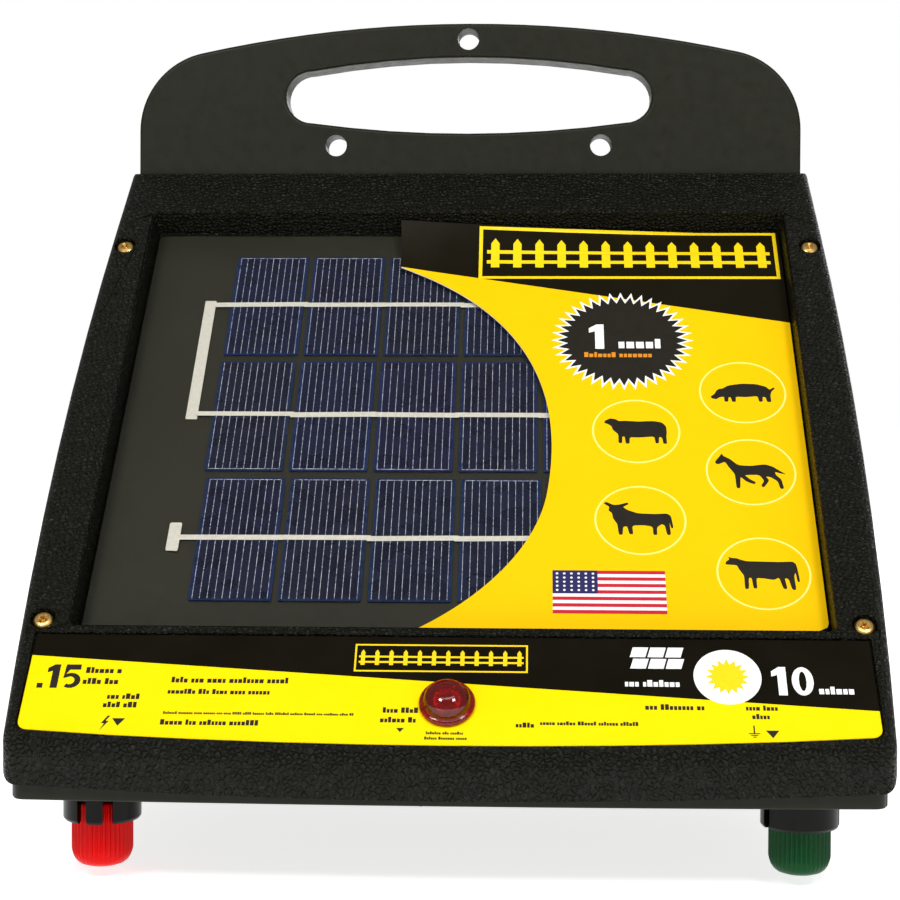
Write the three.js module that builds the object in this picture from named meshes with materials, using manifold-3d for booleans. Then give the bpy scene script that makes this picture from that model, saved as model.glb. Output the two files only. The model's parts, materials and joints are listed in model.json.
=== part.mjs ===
// Solar-powered electric fence energizer: a wedge-shaped plastic case with a carrying handle plate at
// the back, a lid with a recessed solar panel on its 45 degree face, and two wire terminals below.
//
// Millimetres, +Z up. The flat back lies on the plane y = 0, the face looks towards -Y and up, and the
// origin is the middle of the case's back. Pieces of the lid are built in the face's own frame:
// x to the right, y up the slope, z out of the face, with its origin in the middle of the top edge.

import * as THREE from 'three';
import { mergeVertices } from 'three/addons/utils/BufferGeometryUtils.js';
import Module from 'manifold-3d';

// ---------------------------------------------------------------- driving dimensions

const GAP = 0.3; // clearance between neighbouring pieces that touch on the real object

const CASE_TOP = 101;
const CASE_BOTTOM = -101;
const WALL = 2.6;

const FACE_TILT = THREE.MathUtils.degToRad(45);
const FACE_TOP_Y = -15.3;
const FACE_LENGTH = 265.5;
const FRONT_Y = FACE_TOP_Y - FACE_LENGTH * Math.sin(FACE_TILT);

const WIDEST_HALF = 131.9; // half width of the lid at its widest place
const WIDEST_Y = -115;
const SIDE_BOW_RADIUS = 1010;
const FRONT_BOW_RADIUS = 2640;
const LID_CORNER_RADIUS = 4.5;
const LID_EDGE_RADIUS = 3;

const LID_SKIN = 4.2;
const LID_RIM_DEPTH = 8.8; // how far the lid's rim reaches down, square to the face
const LID_RIM_WALL = 2.1;
const CASE_INSET = LID_RIM_WALL + GAP; // the case is this much smaller than the lid all round

const PLATE_THICKNESS = 14;
const PLATE_HALF_WIDTH = 124.8;
const PLATE_SKIN = 2.6;
const PLATE_TOP = CASE_TOP + 55.6;
const PLATE_CROWN_RADIUS = 480;
const PLATE_CORNER_RADIUS = 30;
const PLATE_FOOT = CASE_TOP - 10; // the plate starts inside the case's top wall
const GRIP = { halfLength: 68.9, endRadius: 9.7, middle: 129, riseTop: 5.1, dropBottom: 4 };
const HANG_HOLE_RADIUS = 4.05;
const HANG_HOLES = [[0, 150.65], [-50, 110.75], [50, 110.75]]; // x, z

const WINDOW = { halfWidth: 115.5, top: -24, bottom: -218, depth: 13.4, radius: 2, wall: 2.6, floor: 2.4 };
const LABEL = { halfWidth: 125.2, top: -221, depth: 1.2, margin: 4.4, radius: 3, thickness: 0.4 };
const PANEL = { board: 1.8, cell: 0.4, sheet: 0.5, card: 0.5 };

const CELL = { width: 26, height: 52, pitchX: 28.1, pitchY: 55.3, columns: 6 };
const FIRST_ROW_MIDDLE = -63.3;
const RIBBON_WIDTH = 2.3;
const BUS_X = -91;

const LID_SCREW = { x: 124, upper: -42.6, lower: -215.6, headRadius: 3.1, shankRadius: 1.45, tip: -13 };
const LENS = { y: -246.2, flangeRadius: 8.2, domeRadius: 6.45, barrelRadius: 5.2 };

const TERMINAL_X = 104;
const TERMINAL_Y = -175.3;
const SHROUD = { outer: 11.6, inner: 9.7, height: 9.3, slotWidth: 3, slotAngle: 20 };
const KNOB = { radius: 9.15, top: -104.9, bottom: -124.5 };
const STUD_RADIUS = 2.45;

const SPAN = 140; // half width of cutting shapes that reach past both sides of the case
const BEYOND = 20; // how far cutting shapes reach past what they cut elsewhere

const SWITCH = { x: -14, y: -168, bodyX: 21, bodyY: 15 };
const ROCKER_TILT = THREE.MathUtils.degToRad(11);

const BOARD = { width: 150, height: 100, thickness: 1.6, middleZ: 10, standoff: 6 };
const BATTERY = { length: 101, depth: 70, height: 47, middleY: -101, bottom: -96 };

// ---------------------------------------------------------------- materials

function finish(color, roughness, metalness = 0) {
  return new THREE.MeshStandardMaterial({ color, roughness, metalness });
}

const texturedBlack = finish(0x1b1b17, 0.62);
const satinBlack = finish(0x24241f, 0.42);
const glossBlack = finish(0x101010, 0.3);
const boardOlive = finish(0x3a382a, 0.5);
const cellBlue = finish(0x1a2250, 0.25, 0.1);
const ribbonTin = finish(0xd7d2c8, 0.35, 0.9);
const clearSheet = finish(0xdfe6ee, 0.12);
const cardYellow = finish(0xffdc00, 0.45);
const labelYellow = finish(0xfff00a, 0.4);
const screwBrass = finish(0xd7b464, 0.3, 1);
const steel = finish(0xb9bbbd, 0.35, 1);
const lensRed = finish(0xb01008, 0.15);
const knobRed = finish(0xe00506, 0.4);
const knobGreen = finish(0x046a35, 0.4);
const circuitGreen = finish(0x1d5a34, 0.5);
const windingAmber = finish(0xb06a22, 0.45);
const laminationGrey = finish(0x55585c, 0.5, 0.8);
const batteryGrey = finish(0x3c3f43, 0.5);
const capacitorBlue = finish(0x23489a, 0.35);
const heatsinkGrey = finish(0x9da0a4, 0.4, 0.9);
const leadRed = finish(0xc01c14, 0.45);
const leadBlack = finish(0x161616, 0.45);
const leadGreen = finish(0x0c6a34, 0.45);
const nylonWhite = finish(0xe8e6dc, 0.45);

// ---------------------------------------------------------------- solid modelling helpers

const wasm = await Module();
wasm.setup();

function toSolid(geometry) {
  const bare = geometry.clone();
  bare.deleteAttribute('normal');
  bare.deleteAttribute('uv');
  const merged = mergeVertices(bare, 1e-4);
  const corners = merged.index.array;
  const kept = [];
  for (let i = 0; i < corners.length; i += 3) {
    const [a, b, c] = corners.slice(i, i + 3);
    if (a !== b && b !== c && a !== c) kept.push(a, b, c);
  }
  const vertProperties = new Float32Array(merged.attributes.position.array);
  const triVerts = new Uint32Array(kept);
  return new wasm.Manifold(new wasm.Mesh({ numProp: 3, vertProperties, triVerts }));
}

function toGeometry(solid) {
  const mesh = solid.getMesh();
  const geometry = new THREE.BufferGeometry();
  geometry.setAttribute('position', new THREE.BufferAttribute(new Float32Array(mesh.vertProperties), 3));
  geometry.setIndex(new THREE.BufferAttribute(new Uint32Array(mesh.triVerts), 1));
  const flat = geometry.toNonIndexed();
  flat.computeVertexNormals();
  return flat;
}

function combine(operation, first, others) {
  const result = others.reduce((solid, other) => solid[operation](toSolid(other)), toSolid(first));
  return toGeometry(result);
}

const join = (first, ...others) => combine('add', first, others);
const cut = (first, ...others) => combine('subtract', first, others);
const common = (first, ...others) => combine('intersect', first, others);

// The shape's x and y become y and z, and it is pushed out along x.
function alongX(shape, x0, x1, curveSegments = 8) {
  const geometry = new THREE.ExtrudeGeometry(shape, { depth: x1 - x0, bevelEnabled: false, curveSegments });
  const turn = new THREE.Matrix4().makeBasis(
    new THREE.Vector3(0, 1, 0), new THREE.Vector3(0, 0, 1), new THREE.Vector3(1, 0, 0));
  return geometry.applyMatrix4(turn).translate(x0, 0, 0);
}

// The shape's x and y become x and z, and it is pushed out along y.
function alongY(shape, y0, y1, curveSegments = 8) {
  const geometry = new THREE.ExtrudeGeometry(shape, { depth: y1 - y0, bevelEnabled: false, curveSegments });
  return geometry.rotateX(Math.PI / 2).translate(0, y1, 0);
}

function alongZ(shape, z0, z1, curveSegments = 8) {
  const geometry = new THREE.ExtrudeGeometry(shape, { depth: z1 - z0, bevelEnabled: false, curveSegments });
  return geometry.translate(0, 0, z0);
}

function polygon(points) {
  return new THREE.Shape(points.map(([x, y]) => new THREE.Vector2(x, y)));
}

function roundedRectangle(x0, y0, x1, y1, radius) {
  const shape = new THREE.Shape();
  shape.moveTo(x0 + radius, y0);
  shape.lineTo(x1 - radius, y0);
  shape.absarc(x1 - radius, y0 + radius, radius, -Math.PI / 2, 0);
  shape.lineTo(x1, y1 - radius);
  shape.absarc(x1 - radius, y1 - radius, radius, 0, Math.PI / 2);
  shape.lineTo(x0 + radius, y1);
  shape.absarc(x0 + radius, y1 - radius, radius, Math.PI / 2, Math.PI);
  shape.lineTo(x0, y0 + radius);
  shape.absarc(x0 + radius, y0 + radius, radius, Math.PI, 1.5 * Math.PI);
  return shape;
}

function box(x0, x1, y0, y1, z0, z1) {
  const geometry = new THREE.BoxGeometry(x1 - x0, y1 - y0, z1 - z0);
  return geometry.translate((x0 + x1) / 2, (y0 + y1) / 2, (z0 + z1) / 2);
}

// A solid of revolution about Z from a list of [radius, z] points that starts and ends on the axis.
function turned(profile, segments = 24) {
  const points = profile.map(([radius, z]) => new THREE.Vector2(radius, z));
  return new THREE.LatheGeometry(points, segments).rotateX(Math.PI / 2);
}

// A washer-like solid of revolution about Z.
function ring(inner, outer, z0, z1, segments = 24) {
  return turned([[inner, z0], [outer, z0], [outer, z1], [inner, z1], [inner, z0]], segments);
}

function rod(radius, z0, z1, segments = 16) {
  return turned([[0, z0], [radius, z0], [radius, z1], [0, z1]], segments);
}

function nut(acrossFlats, hole, z0, z1) {
  const hexagon = rod(acrossFlats / Math.sqrt(3), z0, z1, 6);
  return cut(hexagon, rod(hole, z0 - 1, z1 + 1, 16));
}

// A round lead through hand-placed points, eight-sided.
function lead(points, radius) {
  const section = new THREE.Shape();
  section.absarc(0, 0, radius, 0, 2 * Math.PI);
  const path = new THREE.CatmullRomCurve3(points.map(([x, y, z]) => new THREE.Vector3(x, y, z)));
  const steps = 3 * (points.length - 1);
  return new THREE.ExtrudeGeometry(section, { extrudePath: path, steps, curveSegments: 4 });
}

// ---------------------------------------------------------------- groups

const energizer = new THREE.Group();

const face = new THREE.Group();
face.position.set(0, FACE_TOP_Y, CASE_TOP);
face.rotation.set(FACE_TILT, 0, 0);
face.updateMatrix();
energizer.add(face);
const worldToFace = face.matrix.clone().invert();

function addPiece(parent, name, geometry, material, position = [0, 0, 0]) {
  const mesh = new THREE.Mesh(geometry, material);
  mesh.name = name;
  mesh.position.set(...position);
  parent.add(mesh);
  return mesh;
}

// ---------------------------------------------------------------- outlines shared by lid and case

// The sides of the lid bow outwards a little, and from here to the back they are straight.
const BACK_HALF = PLATE_HALF_WIDTH + CASE_INSET;
const STRAIGHT_FROM_Y = WIDEST_Y + Math.sqrt(2 * SIDE_BOW_RADIUS * (WIDEST_HALF - BACK_HALF));

// Half width of the lid at depth y.
function sideHalfWidth(y) {
  return y > STRAIGHT_FROM_Y ? BACK_HALF : WIDEST_HALF - (y - WIDEST_Y) ** 2 / (2 * SIDE_BOW_RADIUS);
}

// The front wall bows forwards a little at the middle.
function frontWallY(x) {
  return FRONT_Y + x ** 2 / (2 * FRONT_BOW_RADIUS);
}

// Height of the plane that lies a given depth below the face, measured square to the face.
function slopeZ(y, depth) {
  return CASE_TOP + (y - FACE_TOP_Y) - depth / Math.cos(FACE_TILT);
}

// Outline of the lid seen from above, drawn inwards by `inset`, as a tall prism.
function planPrism(inset, backY, cornerRadius) {
  const sideSteps = 9;
  const frontSteps = 10;
  const cornerX = sideHalfWidth(FRONT_Y + cornerRadius) - inset - cornerRadius;
  const cornerY = frontWallY(cornerX) + inset + cornerRadius;
  const side = [[BACK_HALF - inset, backY]];
  for (let i = 0; i <= sideSteps; i++) {
    const y = THREE.MathUtils.lerp(STRAIGHT_FROM_Y, cornerY, i / sideSteps);
    side.push([sideHalfWidth(y) - inset, y]);
  }
  const shape = new THREE.Shape();
  shape.moveTo(...side[0]);
  for (const [x, y] of side.slice(1)) shape.lineTo(x, y);
  shape.absarc(cornerX, cornerY, cornerRadius, 0, -Math.PI / 2, true);
  for (let i = 1; i < frontSteps; i++) {
    const x = THREE.MathUtils.lerp(cornerX, -cornerX, i / frontSteps);
    shape.lineTo(x, frontWallY(x) + inset);
  }
  shape.absarc(-cornerX, cornerY, cornerRadius, -Math.PI / 2, Math.PI, true);
  for (const [x, y] of side.reverse()) shape.lineTo(-x, y);
  return alongZ(shape, CASE_BOTTOM - BEYOND, CASE_TOP + BEYOND, 6);
}

// Everything between two depths below the face.
function faceSlab(depth, deeper) {
  const back = BEYOND;
  const front = FRONT_Y - BEYOND;
  const profile = polygon([
    [back, slopeZ(back, depth)], [front, slopeZ(front, depth)],
    [front, slopeZ(front, deeper)], [back, slopeZ(back, deeper)],
  ]);
  return alongX(profile, -SPAN, SPAN);
}

// ---------------------------------------------------------------- rear case with its handle plate

function plateOutline(inset, bottomZ) {
  const half = PLATE_HALF_WIDTH - inset;
  const corner = PLATE_CORNER_RADIUS - inset;
  const crown = PLATE_CROWN_RADIUS - inset;
  const crownZ = PLATE_TOP - PLATE_CROWN_RADIUS;
  const cornerX = half - corner;
  const cornerZ = crownZ + Math.sqrt((crown - corner) ** 2 - cornerX ** 2);
  const meet = Math.atan2(cornerZ - crownZ, cornerX);
  const shape = new THREE.Shape();
  shape.moveTo(-half, bottomZ);
  shape.lineTo(half, bottomZ);
  shape.absarc(cornerX, cornerZ, corner, 0, meet);
  shape.absarc(0, crownZ, crown, meet, Math.PI - meet);
  shape.absarc(-cornerX, cornerZ, corner, Math.PI - meet, Math.PI);
  return shape;
}

// The grip opening: rounded ends, and a top and bottom edge that bow away from each other.
function gripOutline(grow) {
  const endX = GRIP.halfLength - GRIP.endRadius;
  const radius = GRIP.endRadius + grow;
  const steps = 8;
  const shape = new THREE.Shape();
  shape.absarc(endX, GRIP.middle, radius, -Math.PI / 2, Math.PI / 2);
  for (let i = 1; i < steps; i++) {
    const x = THREE.MathUtils.lerp(endX, -endX, i / steps);
    shape.lineTo(x, GRIP.middle + radius + GRIP.riseTop * (1 - (x / endX) ** 2));
  }
  shape.absarc(-endX, GRIP.middle, radius, Math.PI / 2, 1.5 * Math.PI);
  for (let i = 1; i < steps; i++) {
    const x = THREE.MathUtils.lerp(-endX, endX, i / steps);
    shape.lineTo(x, GRIP.middle - radius - GRIP.dropBottom * (1 - (x / endX) ** 2));
  }
  return shape;
}

function rodAlongY(radius, x, z, y0, y1, segments) {
  return rod(radius, -y1, -y0, segments).rotateX(Math.PI / 2).translate(x, 0, z);
}

function handlePlate() {
  const plate = alongY(plateOutline(0, PLATE_FOOT), -PLATE_THICKNESS, 0, 10);
  const coreBottom = PLATE_FOOT + 0.6;
  const ribTop = PLATE_TOP - 9;
  const ribs = [-92, -26, 26, 92].map((x) => box(x - 1, x + 1, -PLATE_THICKNESS, 2, PLATE_FOOT, ribTop));
  const hollow = cut(
    alongY(plateOutline(PLATE_SKIN, coreBottom), PLATE_SKIN - PLATE_THICKNESS, 1, 10),
    alongY(gripOutline(PLATE_SKIN), -PLATE_THICKNESS, 2),
    ...HANG_HOLES.map(([x, z]) => rodAlongY(HANG_HOLE_RADIUS + PLATE_SKIN, x, z, -PLATE_THICKNESS, 2, 20)),
    ...ribs,
  );
  const grip = alongY(gripOutline(0), -PLATE_THICKNESS - 1, 2);
  const holes = HANG_HOLES.map(([x, z]) => rodAlongY(HANG_HOLE_RADIUS, x, z, -PLATE_THICKNESS - 1, 2, 24));
  return { plate, openings: [hollow, grip, ...holes] };
}

function caseShell() {
  const lidGap = LID_SKIN + GAP;
  const rimGap = LID_RIM_DEPTH + GAP;
  const lidRimY = -PLATE_THICKNESS - GAP - LID_RIM_WALL - GAP;
  const backTop = PLATE_FOOT + 5;
  const outerProfile = polygon([
    [0, backTop], [0, CASE_BOTTOM], [FRONT_Y, CASE_BOTTOM], [FRONT_Y, slopeZ(FRONT_Y, lidGap)],
    [lidRimY, slopeZ(lidRimY, lidGap)], [lidRimY, slopeZ(lidRimY, rimGap)],
    [-PLATE_THICKNESS, slopeZ(-PLATE_THICKNESS, rimGap)], [-PLATE_THICKNESS, backTop],
  ]);
  const outer = common(planPrism(CASE_INSET, 0, 4), alongX(outerProfile, -SPAN, SPAN));
  const cavityTop = slopeZ(lidRimY, rimGap) - WALL;
  const cavity = common(planPrism(CASE_INSET + WALL, -WALL, 2),
    box(-SPAN, SPAN, FRONT_Y, 0, CASE_BOTTOM + WALL, cavityTop));
  return cut(outer, cavity);
}

function lidScrewPlaces() {
  const places = [];
  for (const y of [LID_SCREW.upper, LID_SCREW.lower]) {
    for (const x of [-LID_SCREW.x, LID_SCREW.x]) places.push([x, y]);
  }
  return places;
}

function onFace(geometry, x, y) {
  return geometry.translate(x, y, 0).applyMatrix4(face.matrix);
}

const boardHoles = [];
for (const z of [BOARD.middleZ - 42, BOARD.middleZ + 42]) {
  for (const x of [-68, 68]) boardHoles.push([x, z]);
}
const BRACKET_FOOT_X = 62;
const BRACKET_FOOT_Z = -93;

function rearCase() {
  const { plate, openings } = handlePlate();
  const within = planPrism(CASE_INSET, 0, 4);
  const bossTop = -(LID_SKIN + GAP);
  const lidBoss = ([x, y]) => common(onFace(rod(4.6, -20, bossTop, 16), x, y), within);
  const boardPosts = boardHoles.map(([x, z]) => rodAlongY(3.5, x, z, -WALL - BOARD.standoff, -WALL + 1, 12));
  const bracketPosts = [-1, 1].map((side) =>
    rod(4, CASE_BOTTOM + 1, BRACKET_FOOT_Z, 12).translate(side * BRACKET_FOOT_X, BATTERY.middleY, 0));
  const batteryStops = [-1, 1].map((side) => {
    const y = BATTERY.middleY + side * (BATTERY.depth / 2 + 2);
    return box(-40, 40, y - 1, y + 1, CASE_BOTTOM + 1, CASE_BOTTOM + 14);
  });
  const body = join(caseShell(), plate, ...lidScrewPlaces().map(lidBoss), ...boardPosts, ...bracketPosts,
    ...batteryStops);
  const pilots = lidScrewPlaces().map(([x, y]) => onFace(rod(1.75, LID_SCREW.tip - 1.5, 0, 12), x, y));
  const boardPilots = boardHoles.map(([x, z]) => rodAlongY(1.45, x, z, -WALL - 9, -WALL - 0.5, 10));
  const bracketPilots = [-1, 1].map((side) =>
    rod(1.45, CASE_BOTTOM + 2, CASE_TOP - 150, 10).translate(side * BRACKET_FOOT_X, BATTERY.middleY, 0));
  const terminalHoles = [-1, 1].map((side) =>
    rod(5.4, CASE_BOTTOM - 1, CASE_BOTTOM + 6, 20).translate(side * TERMINAL_X, TERMINAL_Y, 0));
  const switchHole = box(SWITCH.x - 9.8, SWITCH.x + 9.8, SWITCH.y - 6.6, SWITCH.y + 6.6,
    CASE_BOTTOM - 1, CASE_BOTTOM + 6);
  return cut(body, ...openings, ...pilots, ...boardPilots, ...bracketPilots, ...terminalHoles, switchHole);
}

addPiece(energizer, 'rear_case', rearCase(), satinBlack);

// ---------------------------------------------------------------- lid

// Label recess and label: straight top and sides, and a lower edge that follows the bowed front.
function labelOutline(inset) {
  const half = LABEL.halfWidth - inset;
  const radius = LABEL.radius;
  const lowerY = (x) => (frontWallY(x) - FACE_TOP_Y) / Math.sin(FACE_TILT) + LABEL.margin + inset;
  const cornerY = lowerY(half) + radius;
  const steps = 10;
  const shape = new THREE.Shape();
  shape.moveTo(-half, LABEL.top - inset);
  shape.lineTo(-half, cornerY);
  shape.absarc(-half + radius, cornerY, radius, Math.PI, 1.5 * Math.PI);
  for (let i = 1; i < steps; i++) {
    const x = THREE.MathUtils.lerp(radius - half, half - radius, i / steps);
    shape.lineTo(x, lowerY(x));
  }
  shape.absarc(half - radius, cornerY, radius, -Math.PI / 2, 0);
  shape.lineTo(half, LABEL.top - inset);
  return shape;
}

function windowOutline(grow, radius) {
  return roundedRectangle(-WINDOW.halfWidth - grow, WINDOW.bottom - grow,
    WINDOW.halfWidth + grow, WINDOW.top + grow, radius);
}

// The lid's outside. Its plan shrinks in steps towards the face, and the hull of the steps has round edges.
function coverBlock() {
  const backY = -PLATE_THICKNESS - GAP;
  const steps = 4;
  const layers = [];
  for (let i = 0; i <= steps; i++) {
    const angle = (i / steps) * Math.PI / 2;
    const inset = LID_EDGE_RADIUS * (1 - Math.cos(angle));
    const depth = LID_EDGE_RADIUS * (1 - Math.sin(angle));
    const plan = planPrism(inset, backY - inset, LID_CORNER_RADIUS - inset);
    layers.push(toSolid(common(plan, faceSlab(depth, LID_RIM_DEPTH))));
  }
  return toGeometry(wasm.Manifold.hull(layers));
}

function frontCover() {
  const rimInsideY = -PLATE_THICKNESS - GAP - LID_RIM_WALL;
  const cavity = common(planPrism(LID_RIM_WALL, rimInsideY, LID_CORNER_RADIUS - LID_RIM_WALL),
    faceSlab(LID_SKIN, LID_RIM_DEPTH + BEYOND));
  const shell = cut(coverBlock(), cavity).applyMatrix4(worldToFace);
  const pocketBottom = -WINDOW.depth - WINDOW.floor;
  const pocket = alongZ(windowOutline(WINDOW.wall, 3), pocketBottom, -LID_SKIN + 1, 4);
  const recess = alongZ(windowOutline(0, WINDOW.radius), -WINDOW.depth, 2, 4);
  const labelRecess = alongZ(labelOutline(0), -LABEL.depth, 2, 5);
  const screwHoles = lidScrewPlaces().map(([x, y]) => turned([
    [0, -8], [1.85, -8], [1.85, -2.8], [3.8, -2.8], [3.8, 2], [0, 2],
  ], 20).translate(x, y, 0));
  const lensHole = rod(LENS.barrelRadius + GAP, -12, 2, 24).translate(0, LENS.y, 0);
  const leadHole = rod(3, -WINDOW.depth - 5, -WINDOW.depth + 1, 12).translate(-91, -40, 0);
  return cut(join(shell, pocket), recess, labelRecess, ...screwHoles, lensHole, leadHole);
}

addPiece(face, 'front_cover', frontCover(), texturedBlack);

function lidScrew() {
  const { headRadius, shankRadius, tip } = LID_SCREW;
  const seat = -2.5;
  const profile = [
    [0, tip], [shankRadius - 0.7, tip + 0.8], [shankRadius, tip + 2.5], [shankRadius, seat],
    [headRadius, seat], [headRadius, -1.5], [headRadius * 0.82, -0.85], [headRadius * 0.45, -0.6], [0, -0.6],
  ];
  return turned(profile, 16);
}

const screwNames = ['cover_screw_top_left', 'cover_screw_top_right', 'cover_screw_bottom_left',
  'cover_screw_bottom_right'];
lidScrewPlaces().forEach(([x, y], i) => {
  addPiece(face, screwNames[i], lidScrew(), screwBrass, [x, y, 0]);
});

function frontLabel() {
  const lensHole = rod(LENS.barrelRadius + GAP, -1, 2, 24).translate(0, LENS.y, 0);
  return cut(alongZ(labelOutline(0.5), 0, LABEL.thickness, 5), lensHole);
}

addPiece(face, 'front_label', frontLabel(), labelYellow, [0, 0, -LABEL.depth + GAP]);

// ---------------------------------------------------------------- solar panel in the lid's window

const boardZ = -WINDOW.depth + GAP;
const cellZ = boardZ + PANEL.board + GAP;
const sheetZ = cellZ + PANEL.cell + 0.25 + GAP;
const cardZ = sheetZ + PANEL.sheet + GAP;

addPiece(face, 'solar_panel_board', alongZ(windowOutline(-0.6, WINDOW.radius), 0, PANEL.board, 4),
  boardOlive, [0, 0, boardZ]);

// One row of cells, joined into a string by the ribbon soldered across their middles. The last string's
// ribbon ends in a cross tab at the left.
function cellString(hasTab) {
  const half = CELL.pitchX * (CELL.columns - 1) / 2;
  const cells = [];
  for (let i = 0; i < CELL.columns; i++) {
    const x = -half + i * CELL.pitchX;
    cells.push(box(x - CELL.width / 2, x + CELL.width / 2, -CELL.height / 2, CELL.height / 2, 0, PANEL.cell));
  }
  const leftEnd = BUS_X + (hasTab ? 0 : 2.8);
  const rightEnd = half + CELL.width / 2 + 3.5;
  const under = PANEL.cell - 0.1; // the ribbon is soldered a little into the cell
  const over = PANEL.cell + 0.15;
  const ribbon = box(leftEnd, rightEnd, -RIBBON_WIDTH / 2, RIBBON_WIDTH / 2, under, over);
  const tab = box(BUS_X - 2, BUS_X + 2, -6, 6, under, over);
  return join(ribbon, ...cells, ...(hasTab ? [tab] : []));
}

const rowShifts = [-0.6, -0.9, 0.4]; // the hand-laid rows do not line up exactly
['cell_string_top', 'cell_string_middle', 'cell_string_bottom'].forEach((name, row) => {
  const y = FIRST_ROW_MIDDLE - row * CELL.pitchY;
  addPiece(face, name, cellString(row === 2), cellBlue, [rowShifts[row], y, cellZ]);
});

// The bus ribbon joins the top and middle strings at the left.
addPiece(face, 'bus_ribbon', box(-2, 2, -29.8, 29.8, 0, 0.3), ribbonTin,
  [BUS_X - 0.5, FIRST_ROW_MIDDLE - CELL.pitchY / 2, cellZ]);
addPiece(face, 'panel_cover_sheet', alongZ(windowOutline(-0.8, WINDOW.radius), 0, PANEL.sheet, 4),
  clearSheet, [0, 0, sheetZ]);

// The printed card covers the right part of the panel; its left edge is a long outward curve.
function cardOutline() {
  const shape = new THREE.Shape();
  shape.moveTo(-24, -25);
  shape.lineTo(-23.4, -45);
  shape.bezierCurveTo(22, -68, 36, -108, 29.5, -155);
  shape.bezierCurveTo(26, -180, 8, -200, -10, -211.5);
  shape.lineTo(111.9, -211.5);
  shape.absarc(111.9, -208.5, 3, -Math.PI / 2, 0);
  shape.lineTo(114.9, -25);
  return shape;
}

addPiece(face, 'display_card', alongZ(cardOutline(), 0, PANEL.card, 10), cardYellow, [0, 0, cardZ]);

// Under the lid: the panel's junction block, with a short lead to its plug, clipped below the pocket.
const pocketUnder = -WINDOW.depth - WINDOW.floor - GAP;
addPiece(face, 'panel_junction_block', box(-12, 12, -8, 8, -9, 0), glossBlack, [-91, -48, pocketUnder]);
addPiece(face, 'panel_lead',
  lead([[-78.7, -48, pocketUnder - 4], [-64, -48, pocketUnder - 4], [-52, -56, pocketUnder - 3.4],
    [-44, -70, pocketUnder - 3.4], [-40, -84, pocketUnder - 3.6]], 1.4), leadBlack);
addPiece(face, 'panel_plug', box(-5, 5, -14, 0, -7, 0), nylonWhite, [-40, -84.7, pocketUnder]);

// ---------------------------------------------------------------- indicator light

function lensShape() {
  const { flangeRadius, domeRadius, barrelRadius } = LENS;
  const base = -LABEL.depth + GAP + LABEL.thickness + GAP;
  const outside = [[3.3, -9], [barrelRadius, -9], [barrelRadius, base], [flangeRadius, base],
    [flangeRadius, base + 0.9], [flangeRadius - 0.8, base + 1.6], [domeRadius, base + 1.6]];
  const domeSteps = 5;
  for (let i = 1; i < domeSteps; i++) {
    const angle = (i / domeSteps) * Math.PI / 2;
    outside.push([domeRadius * Math.cos(angle), base + 1.6 + 4.9 * Math.sin(angle)]);
  }
  outside.push([0, base + 6.5], [0, base + 3.4], [2.2, base + 2.8], [3.3, base + 1]);
  return turned([...outside, [3.3, -9]], 24);
}

addPiece(face, 'indicator_lens', lensShape(), lensRed, [0, LENS.y, 0]);
const lampProfile = [[0, -13], [2.9, -13], [2.9, -11.9], [2.45, -11.9], [2.45, -4], [1.7, -2.6], [0, -2]];
addPiece(face, 'indicator_lamp', turned(lampProfile, 16), lensRed, [0, LENS.y, 0]);
addPiece(face, 'lens_retainer', ring(LENS.barrelRadius + GAP, 8.5, -5.6, -LID_SKIN - GAP, 20), steel,
  [0, LENS.y, 0]);

// ---------------------------------------------------------------- wire terminals below the case

// The castellated shroud keeps the wire under the knob; its neck passes through the case floor.
function terminalShroud(turn) {
  const seat = CASE_BOTTOM - GAP;
  const body = turned([
    [3, seat - 2], [SHROUD.inner, seat - 2], [SHROUD.inner, seat - SHROUD.height + 0.6],
    [SHROUD.inner + 0.4, seat - SHROUD.height], [SHROUD.outer - 0.6, seat - SHROUD.height],
    [SHROUD.outer, seat - SHROUD.height + 0.8], [SHROUD.outer, seat], [5, seat], [5, -95],
    [3, -95], [3, seat - 2],
  ], 32);
  const slots = [];
  for (const base of [-90, 90]) {
    for (const side of [-1, 1]) {
      const angle = THREE.MathUtils.degToRad(base + side * SHROUD.slotAngle + turn);
      const slot = box(6, 14, -SHROUD.slotWidth / 2, SHROUD.slotWidth / 2,
        seat - SHROUD.height - 2, seat - 2.4);
      slots.push(slot.rotateZ(angle));
    }
  }
  return cut(body, ...slots);
}

function terminalKnob() {
  const { radius, top, bottom } = KNOB;
  const bore = STUD_RADIUS + 0.4;
  return turned([
    [0, bottom], [radius - 4.4, bottom], [radius - 2.3, bottom + 0.7], [radius - 0.7, bottom + 2.6],
    [radius, bottom + 5.2], [radius, top - 0.6], [radius - 0.5, top], [bore, top], [bore, bottom + 3.6],
    [0, bottom + 3.6],
  ], 24);
}

function terminalLug() {
  const eye = ring(STUD_RADIUS + 0.25, 4.6, -90.4, -89.6, 20);
  const barrel = box(3.6, 11, -1.6, 1.6, -90.4, -89.6);
  const crimp = box(8, 14, -1.9, 1.9, -90.9, -88.2);
  return join(cut(eye, box(3.5, 5, -1.6, 1.6, -91, -89)), barrel, crimp);
}

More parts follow.
